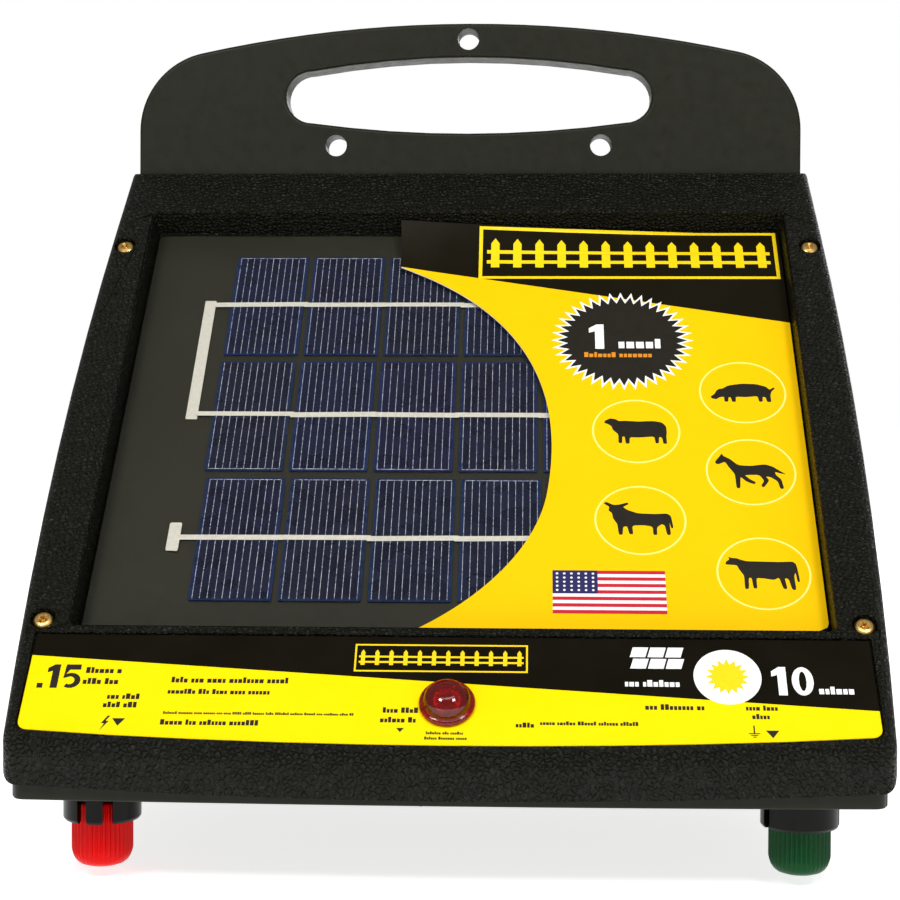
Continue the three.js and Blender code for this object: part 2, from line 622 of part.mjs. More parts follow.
function addTerminal(name, x, shroudTurn, knobMaterial, lugTurn) {
  const place = new THREE.Group();
  place.position.set(x, TERMINAL_Y, 0);
  energizer.add(place);
  addPiece(place, `${name}_terminal_shroud`, terminalShroud(shroudTurn), glossBlack);
  const studProfile = [
    [0, KNOB.bottom + 5], [1.9, KNOB.bottom + 5], [STUD_RADIUS, KNOB.bottom + 6], [STUD_RADIUS, -89.2],
    [0, -89.2],
  ];
  const stud = join(turned(studProfile, 16), rod(4.6, -89.3, -85.8, 6));
  addPiece(place, `${name}_terminal_stud`, stud, steel);
  addPiece(place, `${name}_terminal_nut`, nut(8, STUD_RADIUS + 0.3, -94.6, -90.8), steel);
  const lug = addPiece(place, `${name}_terminal_lug`, terminalLug(), ribbonTin);
  lug.rotation.z = lugTurn;
  const washer = ring(STUD_RADIUS + 0.35, 7.6, KNOB.top + GAP, KNOB.top + 1.3, 24);
  addPiece(place, `${name}_clamp_washer`, washer, steel);
  addPiece(place, `${name}_terminal_knob`, terminalKnob(), knobMaterial);
}

const LUG_TURN = THREE.MathUtils.degToRad(90);
addTerminal('fence', -TERMINAL_X, 0, knobRed, LUG_TURN);
addTerminal('ground', TERMINAL_X, 96, knobGreen, LUG_TURN);

// ---------------------------------------------------------------- power switch in the case floor

function switchBody() {
  const { bodyX, bodyY } = SWITCH;
  const bezel = box(-bodyX / 2, bodyX / 2, -bodyY / 2, bodyY / 2, CASE_BOTTOM - 2.3, CASE_BOTTOM - GAP);
  const barrel = box(-9.5, 9.5, -6.3, 6.3, CASE_BOTTOM - 0.5, -86.5);
  const pocket = box(-8.6, 8.6, -5.1, 5.1, CASE_BOTTOM - 4, -93);
  const blades = [-5, 5].map((x) => box(x - 2.4, x + 2.4, -0.4, 0.4, -87.5, -79));
  return cut(join(bezel, barrel, ...blades), pocket);
}

function switchRocker() {
  const profile = polygon([
    [-7.6, 0.6], [-7.4, -5.4], [-6.6, -5.8], [0, -3.8], [6.6, -5.8], [7.4, -5.4], [7.6, 0.6],
    [4.6, 3.4], [-4.6, 3.4],
  ]);
  return alongY(profile, -4.8, 4.8);
}

const powerSwitch = new THREE.Group();
powerSwitch.position.set(SWITCH.x, SWITCH.y, 0);
energizer.add(powerSwitch);
addPiece(powerSwitch, 'switch_body', switchBody(), glossBlack);
const rocker = addPiece(powerSwitch, 'switch_rocker', switchRocker(), glossBlack, [0, 0, CASE_BOTTOM + 1]);
rocker.rotation.y = ROCKER_TILT;

// ---------------------------------------------------------------- circuit board on the back wall

const boardBackY = -WALL - BOARD.standoff - GAP;
const boardFrontY = boardBackY - BOARD.thickness;
const partY = boardFrontY - GAP; // pieces soldered to the board start here

function circuitBoard() {
  const halfX = BOARD.width / 2;
  const halfZ = BOARD.height / 2;
  const shape = roundedRectangle(-halfX, BOARD.middleZ - halfZ, halfX, BOARD.middleZ + halfZ, 2);
  const holes = boardHoles.map(([x, z]) => rodAlongY(1.8, x, z, boardFrontY - 1, boardBackY + 1, 12));
  return cut(alongY(shape, boardFrontY, boardBackY, 2), ...holes);
}

addPiece(energizer, 'circuit_board', circuitBoard(), circuitGreen);

// A small pan head screw pointing along +Z, its seat at z = 0.
function smallScrew() {
  return turned([[0, -5.6], [1.15, -5.6], [1.15, 0], [2.7, 0], [2.7, 1], [1.6, 1.8], [0, 1.8]], 12);
}

boardHoles.forEach(([x, z], i) => {
  const place = [x, boardFrontY - GAP, z];
  const screw = addPiece(energizer, `board_screw_${i + 1}`, smallScrew(), screwBrass, place);
  screw.rotation.x = Math.PI / 2;
});

// The output transformer: a laminated core with two windows, and a coil round its middle leg.
const TRANSFORMER = { x: -34, z: -10, width: 57, height: 48, stack: 19, window: 9.5, leg: 19, coilWall: 8 };
const coreMiddleY = partY - TRANSFORMER.coilWall - TRANSFORMER.stack / 2;

function transformerCore() {
  const { x, z, width, height, stack, window, leg } = TRANSFORMER;
  const yoke = 9.5;
  const body = box(x - width / 2, x + width / 2, coreMiddleY - stack / 2, coreMiddleY + stack / 2,
    z - height / 2, z + height / 2);
  const windows = [-1, 1].map((side) => {
    const inner = x + side * leg / 2;
    const outer = x + side * (leg / 2 + window);
    return box(Math.min(inner, outer), Math.max(inner, outer), coreMiddleY - stack, coreMiddleY + stack,
      z - height / 2 + yoke, z + height / 2 - yoke);
  });
  return cut(body, ...windows);
}

function transformerCoil() {
  const { x, z, height, stack, window, leg, coilWall } = TRANSFORMER;
  const halfX = leg / 2 + window - GAP;
  const halfY = stack / 2 + coilWall;
  const halfZ = height / 2 - 9.5 - GAP;
  const outline = roundedRectangle(-halfX, -halfY, halfX, halfY, 4);
  const hole = roundedRectangle(-leg / 2 - GAP, -stack / 2 - GAP, leg / 2 + GAP, stack / 2 + GAP, 0.5);
  outline.holes.push(hole);
  return alongZ(outline, -halfZ, halfZ, 3).translate(x, coreMiddleY, z);
}

addPiece(energizer, 'transformer_core', transformerCore(), laminationGrey);
addPiece(energizer, 'transformer_coil', transformerCoil(), windingAmber);

// A component standing on the board: a solid of revolution whose axis points forwards.
function addRoundPart(name, profile, material, x, z) {
  const part = addPiece(energizer, name, turned(profile, 20), material, [x, partY, z]);
  part.rotation.x = Math.PI / 2;
}

addRoundPart('storage_capacitor', [[0, 0], [11, 0], [11, 1], [10.6, 2], [11, 3], [11, 34], [10, 35], [0, 35]],
  capacitorBlue, 24, -8);
addRoundPart('filter_capacitor', [[0, 0], [6.3, 0], [6.3, 19.4], [5.6, 20], [0, 20]], glossBlack, 52, 0);
addRoundPart('charge_inductor', [[0, 0], [8, 0], [8, 1.5], [5.6, 2], [5.6, 9], [8, 9.5], [8, 11], [0, 11]],
  laminationGrey, -2, 34);

function heatSink() {
  const outline = polygon([[-11, 0], [11, 0], [11, -12], [9.4, -12], [9.4, -1.6], [-9.4, -1.6], [-9.4, -12],
    [-11, -12]]);
  return alongZ(outline, 24, 46).translate(30, partY - 5, 0);
}

addPiece(energizer, 'heat_sink', heatSink(), heatsinkGrey);
const thyristorLegs = [-2.5, 0, 2.5].map((x) => box(29.6 + x, 30.4 + x, partY - 9.4, partY - 8.8, 16, 28));
const thyristorBody = box(25, 35, partY - 11.4, partY - 6.6 - GAP, 27, 42);
addPiece(energizer, 'output_thyristor', join(thyristorBody, ...thyristorLegs), glossBlack);

addPiece(energizer, 'battery_header', box(44, 58, partY - 8, partY, -38, -30), nylonWhite);
addPiece(energizer, 'panel_header', box(-66, -54, partY - 8, partY, 40, 48), nylonWhite);
addPiece(energizer, 'output_block', box(-74, -63.5, partY - 12, partY, -22, -8), capacitorBlue);

// ---------------------------------------------------------------- rechargeable battery on the case floor

const batteryTop = BATTERY.bottom + BATTERY.height;
const batteryY = [BATTERY.middleY - BATTERY.depth / 2, BATTERY.middleY + BATTERY.depth / 2];
const batteryHalf = BATTERY.length / 2;

const batteryShape = roundedRectangle(batteryY[0], BATTERY.bottom, batteryY[1], batteryTop, 2);
addPiece(energizer, 'battery', alongX(batteryShape, -batteryHalf, batteryHalf, 2), batteryGrey);
addPiece(energizer, 'battery_pad',
  box(-45, 45, batteryY[0] + 5, batteryY[1] - 5, CASE_BOTTOM + WALL + GAP, BATTERY.bottom - GAP), leadBlack);

for (const [name, y] of [['battery_tab_positive', -14], ['battery_tab_negative', 14]]) {
  addPiece(energizer, name, box(0, 6.5, -2.4, 2.4, 0, 0.8), ribbonTin,
    [batteryHalf + GAP, BATTERY.middleY + 1.4 * y, batteryTop - 12]);
}

// The bracket passes over the battery from side to side and is screwed to two posts on the floor.
function batteryBracket() {
  const inner = batteryHalf + 0.5;
  const foot = BRACKET_FOOT_X + 6;
  const top = batteryTop + 0.5;
  const low = BRACKET_FOOT_Z + GAP;
  const profile = polygon([
    [-foot, low], [-inner, low], [-inner, top], [inner, top], [inner, low], [foot, low], [foot, low + 1.5],
    [inner + 1.5, low + 1.5], [inner + 1.5, top + 1.5], [-inner - 1.5, top + 1.5],
    [-inner - 1.5, low + 1.5], [-foot, low + 1.5],
  ]);
  const strap = alongY(profile, BATTERY.middleY - 9, BATTERY.middleY + 9);
  const holes = [-1, 1].map((side) =>
    rod(1.7, low - 1, low + 3, 12).translate(side * BRACKET_FOOT_X, BATTERY.middleY, 0));
  return cut(strap, ...holes);
}

addPiece(energizer, 'battery_bracket', batteryBracket(), steel);
for (const [name, side] of [['bracket_screw_left', -1], ['bracket_screw_right', 1]]) {
  addPiece(energizer, name, smallScrew(), screwBrass,
    [side * BRACKET_FOOT_X, BATTERY.middleY, BRACKET_FOOT_Z + 1.5 + 2 * GAP]);
}

// ---------------------------------------------------------------- internal leads

const lugBackY = TERMINAL_Y + 14 + GAP;
addPiece(energizer, 'fence_lead', lead([
  [-TERMINAL_X, lugBackY, -89.6], [-104, -146, -88], [-96, -100, -84], [-80, -50, -66], [-72, -34, -46],
  [-69, partY - 6, -23.2],
], 1.7), leadRed);
addPiece(energizer, 'ground_lead', lead([
  [TERMINAL_X, lugBackY, -89.6], [104, -146, -88], [98, -90, -80], [86, -44, -58], [74, -26, -50],
  [56, -19, -46], [53.5, partY - 4, -39.2],
], 1.5), leadGreen);
addPiece(energizer, 'battery_lead_red', lead([
  [batteryHalf + 7.8, BATTERY.middleY - 19.6, batteryTop - 11.6], [64, -118, -60], [70, -92, -56],
  [62, -50, -44], [50, -24, -46], [48.5, partY - 4, -39.6],
], 1.3), leadRed);

export default energizer;
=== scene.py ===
"""Looks of the solar fence energizer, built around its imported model.

Sizes are in millimetres until a mesh is made. Pieces of the sloping front are built in the face's own
frame: x to the right, y up the slope, z out of the face, origin in the middle of its top edge.
"""

import json
import math
import random

import bmesh
import bpy
from mathutils import Matrix, Quaternion, Vector
from mathutils.geometry import tessellate_polygon


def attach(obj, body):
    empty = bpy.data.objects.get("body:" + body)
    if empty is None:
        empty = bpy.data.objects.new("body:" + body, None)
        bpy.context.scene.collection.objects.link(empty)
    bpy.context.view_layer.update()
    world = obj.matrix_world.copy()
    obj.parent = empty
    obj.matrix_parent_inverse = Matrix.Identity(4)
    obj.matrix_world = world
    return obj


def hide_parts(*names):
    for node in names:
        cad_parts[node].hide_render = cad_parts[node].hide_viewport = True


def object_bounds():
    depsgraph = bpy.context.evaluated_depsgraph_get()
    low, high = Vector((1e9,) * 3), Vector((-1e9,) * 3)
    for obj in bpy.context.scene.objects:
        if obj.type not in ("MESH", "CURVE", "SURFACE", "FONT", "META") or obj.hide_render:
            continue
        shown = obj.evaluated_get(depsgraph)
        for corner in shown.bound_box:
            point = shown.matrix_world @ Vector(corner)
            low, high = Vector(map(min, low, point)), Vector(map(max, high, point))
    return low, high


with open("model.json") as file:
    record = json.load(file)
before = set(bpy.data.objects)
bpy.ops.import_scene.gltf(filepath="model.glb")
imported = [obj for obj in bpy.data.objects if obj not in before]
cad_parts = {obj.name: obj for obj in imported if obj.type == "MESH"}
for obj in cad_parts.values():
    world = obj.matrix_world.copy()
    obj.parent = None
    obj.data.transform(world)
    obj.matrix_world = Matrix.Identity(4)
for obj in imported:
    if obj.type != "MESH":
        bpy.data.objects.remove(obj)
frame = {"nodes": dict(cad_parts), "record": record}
CAD_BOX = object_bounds()
NODES = frame["nodes"]
NODE_SLOTS = {row["node"]: row["material_slot"] for row in frame["record"]["subparts"]}

MM = 0.001
FACE_TOP = Vector((0, -15.3, 101))
FACE_TILT = math.radians(45)
FACE = Matrix.Translation(FACE_TOP * MM) @ Matrix.Rotation(FACE_TILT, 4, "X")
UPRIGHT = Matrix.Identity(4)


def box_of(node, place=UPRIGHT):
    """Lowest and highest corner of a CAD node in a frame of its own, in millimetres."""
    inside = place.inverted()
    points = [inside @ v.co / MM for v in NODES[node].data.vertices]
    low = Vector([min(p[i] for p in points) for i in range(3)])
    high = Vector([max(p[i] for p in points) for i in range(3)])
    return low, high


CASE_LOW = box_of("rear_case")[0]
LABEL_TOP = box_of("front_label", FACE)[1].z
CARD_LOW, CARD_HIGH = box_of("display_card", FACE)
CARD_TOP = CARD_HIGH.z


# ---------------------------------------------------------------- materials


def linear(red, green, blue):
    """A display colour, 0 to 255, as the linear colour that a shader takes."""
    channels = []
    for value in (red, green, blue):
        value /= 255
        channels.append(value / 12.92 if value <= 0.04045 else ((value + 0.055) / 1.055) ** 2.4)
    return (*channels, 1.0)


def scaled(colour, factor):
    return (*[min(1.0, c * factor) for c in colour[:3]], 1.0)


class Surface:
    """A node material in the making. Its textures use the piece's own coordinates."""

    def __init__(self, name, **settings):
        self.material = bpy.data.materials.new(name)
        self.material.use_nodes = True
        self.tree = self.material.node_tree
        self.shader = self.tree.nodes["Principled BSDF"]
        for socket, value in settings.items():
            self.shader.inputs[socket.replace("_", " ")].default_value = value
        self.place = self.add("ShaderNodeTexCoord").outputs["Object"]

    def add(self, kind, settings=None, inputs=None):
        node = self.tree.nodes.new(kind)
        for name, value in (settings or {}).items():
            setattr(node, name, value)
        for name, value in (inputs or {}).items():
            socket = node.inputs[name]
            if isinstance(value, bpy.types.NodeSocket):
                self.tree.links.new(value, socket)
            else:
                socket.default_value = value
        return node

    def mapped(self, **inputs):
        """The piece's coordinates after a change of place, turn or scale."""
        return self.add("ShaderNodeMapping", inputs={"Vector": self.place, **inputs}).outputs[0]

    def on_face(self):
        """Face coordinates for a piece whose own coordinates are the upright frame's."""
        turned = FACE.inverted()
        return self.mapped(Location=turned.to_translation(), Rotation=turned.to_euler())

    def noise(self, size, detail=3.0, roughness=0.5, vector=None):
        """Cloudy noise whose features are about `size` millimetres across."""
        node = self.add("ShaderNodeTexNoise", inputs={
            "Vector": vector or self.place, "Scale": 1 / (size * MM), "Detail": detail,
            "Roughness": roughness})
        return node.outputs["Fac"]

    def cells(self, size, feature="F1", vector=None):
        """Random cells about `size` millimetres across: outputs Distance and Color."""
        inputs = {"Vector": vector or self.place, "Scale": 1 / (size * MM)}
        return self.add("ShaderNodeTexVoronoi", {"feature": feature}, inputs).outputs

    def maths(self, operation, first, second=0.0, third=0.0, clamp=False):
        settings = {"operation": operation, "use_clamp": clamp}
        return self.add("ShaderNodeMath", settings, {0: first, 1: second, 2: third}).outputs[0]

    def between(self, factor, low, high, start=0.0, end=1.0):
        """`low` where the factor is at `start`, `high` where it is at `end`, and even steps between."""
        node = self.add("ShaderNodeMapRange", inputs={
            "Value": factor, "From Min": start, "From Max": end, "To Min": low, "To Max": high})
        return node.outputs["Result"]

    def mix(self, factor, first, second):
        node = self.add("ShaderNodeMix", {"data_type": "RGBA"}, {0: factor, 6: first, 7: second})
        return node.outputs[2]

    def split(self, vector):
        return self.add("ShaderNodeSeparateXYZ", inputs={0: vector}).outputs

    def colour(self, value):
        self.tree.links.new(value, self.shader.inputs["Base Color"])

    def rough(self, value):
        self.tree.links.new(value, self.shader.inputs["Roughness"])

    def uneven_gloss(self, marks, low, high):
        """Roughness that wanders from `low` to `high` over most of a noise's range."""
        self.rough(self.between(marks, low, high, 0.3, 0.7))

    def bump(self, height, depth):
        """Relief whose full height is `depth` millimetres."""
        inputs = {"Height": height, "Distance": depth * MM, "Strength": 1.0}
        bumps = self.add("ShaderNodeBump", inputs=inputs)
        self.tree.links.new(bumps.outputs[0], self.shader.inputs["Normal"])


def plastic(name, colour, roughness, grain=0.5, depth=0.02, variation=0.25, specular=0.3, **settings):
    """Moulded plastic: faint cloudy colour, uneven gloss and a fine grain."""
    s = Surface(name, Specular_IOR_Level=specular, **settings)
    clouds = s.noise(14, detail=5)
    s.colour(s.mix(clouds, scaled(colour, 1 - variation), scaled(colour, 1 + variation)))
    smears = s.noise(4.5, detail=6, roughness=0.7)
    s.uneven_gloss(smears, roughness * 0.8, roughness * 1.25)
    s.bump(s.noise(grain, detail=2), depth)
    return s.material


def leather_grain():
    """The lid's deep moulded grain: rounded cells with creases between them, the creases darkened by
    painted shade.
    """
    s = Surface("leather_grain_black", Specular_IOR_Level=0.17)
    warp = s.add("ShaderNodeTexNoise", inputs={
        "Vector": s.place, "Scale": 1 / (2.4 * MM), "Detail": 2.0}).outputs["Color"]
    bent = s.add("ShaderNodeMix", {"data_type": "VECTOR"}, {0: 0.7 * MM, 4: s.place, 5: warp}).outputs[1]
    creases = s.cells(1.6, "DISTANCE_TO_EDGE", bent)["Distance"]
    pebbles = s.between(creases, 0.0, 1.0, 0.0, 0.34)
    fine = s.noise(0.42, detail=3)
    height = s.maths("MULTIPLY_ADD", fine, 0.45, pebbles)
    clouds = s.noise(22, detail=4)
    base = s.mix(clouds, linear(17, 17, 7), linear(29, 29, 13))
    # Painted shade: the creases are painted darker than the tops of the cells.
    s.colour(s.mix(s.maths("MULTIPLY", pebbles, 0.6), linear(8, 8, 3), base))
    s.uneven_gloss(s.noise(0.9, detail=4), 0.22, 0.46)
    s.bump(height, 0.6)
    return s.material


def board_surface():
    s = Surface("panel_board_olive", Specular_IOR_Level=0.3)
    clouds = s.noise(30, detail=6, roughness=0.6)
    s.colour(s.mix(clouds, linear(34, 34, 25), linear(48, 47, 35)))
    s.uneven_gloss(s.noise(2.2, detail=5), 0.34, 0.5)
    s.bump(s.noise(0.35, detail=2), 0.012)
    return s.material


def silicon():
    """Blue silicon: crystal flakes, a tint of its own for each cell, and a paler blue rim.

    The "cell" coordinates count millimetres from the middle of each cell.
    """
    s = Surface("solar_silicon", Specular_IOR_Level=0.3, Coat_Weight=0.1, Coat_Roughness=0.12)
    tint = s.add("ShaderNodeVertexColor", {"layer_name": "tint"}).outputs["Color"]
    flake = s.split(s.cells(4.2)["Color"])[0]
    across = s.split(s.add("ShaderNodeUVMap", {"uv_map": "cell"}).outputs[0])
    side_rim = s.between(s.maths("ABSOLUTE", across[0]), 0.0, 1.0, 11.2, 13.0)
    end_rim = s.between(s.maths("ABSOLUTE", across[1]), 0.0, 1.0, 24.6, 26.2)
    rim = s.maths("MULTIPLY", s.maths("MAXIMUM", side_rim, end_rim), 0.75, clamp=True)
    body = s.mix(s.maths("MULTIPLY", flake, 0.55), linear(8, 12, 36), linear(14, 22, 58))
    body = s.mix(rim, body, linear(18, 44, 94))
    tinted = s.add("ShaderNodeMix", {"data_type": "RGBA", "blend_type": "MULTIPLY"}, {
        0: 1.0, 6: body, 7: tint})
    s.colour(tinted.outputs[2])
    s.rough(s.between(flake, 0.22, 0.4))
    s.bump(s.noise(0.5, detail=2), 0.006)
    return s.material


def silver_paste():
    """Printed grid lines whose paste comes and goes a little along each line."""
    s = Surface("silver_paste", Metallic=0.3, Roughness=0.5)
    beads = s.between(s.noise(0.8, detail=2), 0.0, 1.0, 0.36, 0.62)
    s.colour(s.mix(beads, linear(92, 96, 128), linear(226, 228, 232)))
    s.bump(beads, 0.02)
    return s.material


def tinned():
    s = Surface("tinned_copper", Metallic=0.15, Specular_IOR_Level=0.5)
    ripples = s.noise(1.1, detail=4)
    s.colour(s.mix(ripples, linear(204, 200, 184), linear(240, 236, 222)))
    s.uneven_gloss(ripples, 0.34, 0.55)
    s.bump(s.noise(2.0, detail=3), 0.06)
    return s.material


def clear_laminate():
    """A clear sheet: nearly see-through, with faint smears in its gloss."""
    s = Surface("clear_laminate", Alpha=0.04, Specular_IOR_Level=0.5)
    s.colour(s.mix(s.noise(20), linear(46, 48, 50), linear(58, 60, 62)))
    s.uneven_gloss(s.noise(6, detail=6), 0.08, 0.2)
    s.bump(s.noise(12), 0.02)
    return s.material


def below_line(s, vector, start, end):
    """1 below the straight line through two face points, 0 above it."""
    x, y, _ = s.split(vector)
    slope = (end[1] - start[1]) / (end[0] - start[0])
    line = s.maths("MULTIPLY_ADD", x, slope, (start[1] - slope * start[0]) * MM)
    return s.maths("LESS_THAN", y, line)


def printed(name, vector_of, line, yellow, black, roughness):
    """Coated print: black above a slanting line and yellow below it."""
    s = Surface(name, Specular_IOR_Level=0.1)
    ink = below_line(s, vector_of(s), *line)
    fibre = s.noise(0.5, detail=4)
    press = s.noise(16, detail=4)
    light = s.mix(press, scaled(yellow, 0.94), yellow)
    dark = s.mix(press, scaled(black, 0.75), scaled(black, 1.3))
    s.colour(s.mix(ink, dark, light))
    s.uneven_gloss(press, roughness * 0.85, roughness * 1.15)
    s.bump(fibre, 0.008)
    return s.material


def ink(name, colour, roughness=0.45):
    s = Surface(name, Specular_IOR_Level=0.3)
    s.colour(s.mix(s.noise(1.6, detail=5), scaled(colour, 0.9), scaled(colour, 1.08)))
    s.uneven_gloss(s.noise(3), roughness * 0.85, roughness * 1.15)
    s.bump(s.noise(0.4), 0.006)
    return s.material


def paper():
    s = Surface("card_core", Specular_IOR_Level=0.2, Roughness=0.8)
    s.colour(s.mix(s.noise(0.5, detail=5), linear(214, 210, 198), linear(250, 248, 240)))
    s.bump(s.noise(0.3, detail=4), 0.03)
    return s.material


def lens_plastic():
    s = Surface("lens_red", Transmission_Weight=0.9, IOR=1.49)
    s.colour(s.mix(s.noise(3), linear(196, 6, 2), linear(234, 26, 10)))
    s.uneven_gloss(s.noise(1.5), 0.02, 0.06)
    s.bump(s.noise(2.2), 0.004)
    return s.material


def metal(name, colour, roughness, brushing=(1, 1, 1), depth=0.015, variation=0.12):
    """Bare or plated metal with fine tool marks and a few darker patches."""
    s = Surface(name, Metallic=1.0)
    marks = s.noise(0.25, detail=4, vector=s.mapped(Scale=brushing))
    patches = s.noise(2.4, detail=5)
    s.colour(s.mix(patches, scaled(colour, 1 - variation), scaled(colour, 1 + variation)))
    s.uneven_gloss(marks, roughness * 0.75, roughness * 1.3)
    s.bump(marks, depth)
    return s.material


def solder_mask():
    """A green board with slightly raised copper tracks under its lacquer."""
    s = Surface("solder_mask", Specular_IOR_Level=0.45, Coat_Weight=0.3, Coat_Roughness=0.2)
    x, _, z = s.split(s.place)
    bricks = s.add("ShaderNodeTexBrick", {"offset": 0.5}, {
        "Vector": s.add("ShaderNodeCombineXYZ", inputs={0: x, 1: z}).outputs[0],
        "Scale": 1 / (9 * MM), "Mortar Size": 0.07, "Mortar Smooth": 0.4})
    tracks = bricks.outputs["Fac"]
    patches = s.maths("GREATER_THAN", s.noise(16, detail=1), 0.5)
    copper = s.maths("MULTIPLY", tracks, patches)
    s.colour(s.mix(copper, linear(16, 74, 40), linear(44, 118, 62)))
    s.uneven_gloss(s.noise(3), 0.3, 0.45)
    s.bump(copper, 0.05)
    return s.material


def banded(name, colour, dark, pitch, axis, roughness, metallic=0.0, depth=0.08):
    """Stacked sheets or wound turns: thin darker lines at an even pitch along one axis."""
    s = Surface(name, Metallic=metallic, Specular_IOR_Level=0.4)
    along = s.split(s.place)[axis]
    wave = s.maths("FRACT", s.maths("MULTIPLY", along, 1 / (pitch * MM)))
    line = s.between(s.maths("ABSOLUTE", s.maths("SUBTRACT", wave, 0.5)), 0.0, 1.0, 0.34, 0.5)
    body = s.mix(s.noise(5, detail=4), scaled(colour, 0.82), scaled(colour, 1.12))
    s.colour(s.mix(line, body, dark))
    s.uneven_gloss(s.noise(2), roughness * 0.8, roughness * 1.2)
    s.bump(line, -depth)
    return s.material


def foam():
    s = Surface("black_foam", Specular_IOR_Level=0.1, Roughness=0.95)
    bubbles = s.cells(0.9)["Distance"]
    # Painted shade: the hollow middle of each bubble is painted darker than its rim.
    s.colour(s.mix(bubbles, linear(14, 14, 14), linear(44, 44, 44)))
    s.bump(bubbles, 0.35)
    return s.material


# Where black print meets yellow: two face points, in millimetres, that the line runs through.
CARD_LINE = ((-23, -45), (116.6, -74.6))
LABEL_LINE = ((-124.4, -229.6), (125.4, -247.2))

SLOT_MATERIALS = {
    "textured_black_plastic": leather_grain(),
    "satin_black_plastic": plastic("satin_black", linear(24, 24, 14), 0.42, 0.3, 0.012, 0.16, 0.2),
    "gloss_black_plastic": plastic("gloss_black", linear(5, 5, 4), 0.26, 0.6, 0.008, 0.2, 0.14),
    "panel_board": board_surface(),
    "solar_cell": silicon(),
    "tinned_ribbon": tinned(),
    "clear_sheet": clear_laminate(),
    "printed_card": printed("card_print", lambda s: s.place, CARD_LINE, linear(255, 204, 0),
                            linear(20, 16, 4), 0.4),
    "printed_label": printed("label_print", Surface.on_face, LABEL_LINE, linear(255, 228, 0),
                             linear(14, 9, 1), 0.34),
    "plated_screw": metal("yellow_zinc", linear(224, 186, 108), 0.3, variation=0.22),
    "zinc_steel": metal("bright_zinc", linear(186, 190, 194), 0.34, (1, 1, 6)),
    "red_lens": lens_plastic(),
    "red_plastic": plastic("knob_red", linear(206, 0, 0), 0.36, 0.5, 0.015, 0.1, 0.12),
    "green_plastic": plastic("knob_green", linear(0, 62, 24), 0.36, 0.5, 0.015, 0.16, 0.14),
    "circuit_board": solder_mask(),
    "winding": banded("taped_winding", linear(176, 106, 34), linear(104, 56, 16), 1.6, 2, 0.4),
    "lamination": banded("steel_sheets", linear(92, 96, 100), linear(40, 40, 42), 0.9, 1, 0.45, 0.8),
    "battery_case": plastic("battery_grey", linear(58, 61, 66), 0.5, 0.5, 0.04, 0.14),
    "capacitor_sleeve": plastic("sleeve_blue", linear(32, 68, 148), 0.3, 0.8, 0.01, 0.12, 0.45),
    "aluminium": metal("extruded_aluminium", linear(176, 180, 184), 0.32, (8, 8, 1)),
    "black_foam": foam(),
    "red_lead": plastic("lead_red", linear(186, 24, 18), 0.42, 0.7, 0.03, 0.12),
    "black_lead": plastic("lead_black", linear(24, 24, 24), 0.42, 0.7, 0.03, 0.2),
    "green_lead": plastic("lead_green", linear(14, 104, 52), 0.42, 0.7, 0.03, 0.12),
    "nylon": plastic("nylon_natural", linear(226, 224, 212), 0.42, 0.8, 0.02, 0.06),
}
SILVER = silver_paste()
INK = {
    "black": ink("ink_black", linear(28, 23, 14)),
    "white": ink("ink_white", linear(252, 252, 250)),
    "pale": ink("ink_pale_yellow", linear(255, 246, 128)),
    "yellow": ink("ink_yellow", linear(255, 214, 0)),
    "orange": ink("ink_orange", linear(226, 140, 30)),
    "red": ink("ink_red", linear(204, 30, 52)),
    "blue": ink("ink_blue", linear(40, 34, 92)),
}


# ---------------------------------------------------------------- making meshes


def make_piece(name, vertices, faces, materials, body, place=UPRIGHT, slot=None, replaces=(),
               picks=None, smooth=False):
    """A mesh piece from points in millimetres in the frame `place`, riding on a CAD body.

    `picks` has one material number for each face.
    """
    mesh = bpy.data.meshes.new(name)
    mesh.from_pydata([Vector(v) * MM for v in vertices], [], faces)
    for material in materials:
        mesh.materials.append(material)
    if picks:
        mesh.polygons.foreach_set("material_index", picks)
    mesh.polygons.foreach_set("use_smooth", [smooth] * len(mesh.polygons))
    mesh.update()
    piece = bpy.data.objects.new(name, mesh)
    bpy.context.scene.collection.objects.link(piece)
    piece.matrix_world = place
    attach(piece, body)
    if replaces:
        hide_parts(*replaces)
    return piece


def bevelled(piece, width, segments=2, angle=30, clamp=True):
    bevel = piece.modifiers.new("edges", "BEVEL")
    bevel.width = width * MM
    bevel.segments = segments
    bevel.limit_method = "ANGLE"
    bevel.angle_limit = math.radians(angle)
    bevel.use_clamp_overlap = clamp
    even_shading(piece)
    return piece


def even_shading(piece):
    """Lets the large flat faces decide the normals at their edges."""
    normals = piece.modifiers.new("shading", "WEIGHTED_NORMAL")
    normals.mode = "FACE_AREA"
    normals.weight = 90
    normals.keep_sharp = True


def weld(piece, distance):
    """Joins vertices that lie within `distance` millimetres."""
    join = piece.modifiers.new("weld", "WELD")
    join.merge_threshold = distance * MM


def triangles(loops):
    """Triangles, all facing up, that fill an outline less its holes."""
    points = [Vector((*point, 0)) for loop in loops for point in loop]
    filled = []
    for a, b, c in tessellate_polygon([[Vector((*point, 0)) for point in loop] for loop in loops]):
        faces_up = (points[b] - points[a]).cross(points[c] - points[a]).z > 0
        filled.append((a, b, c) if faces_up else (a, c, b))
    return filled


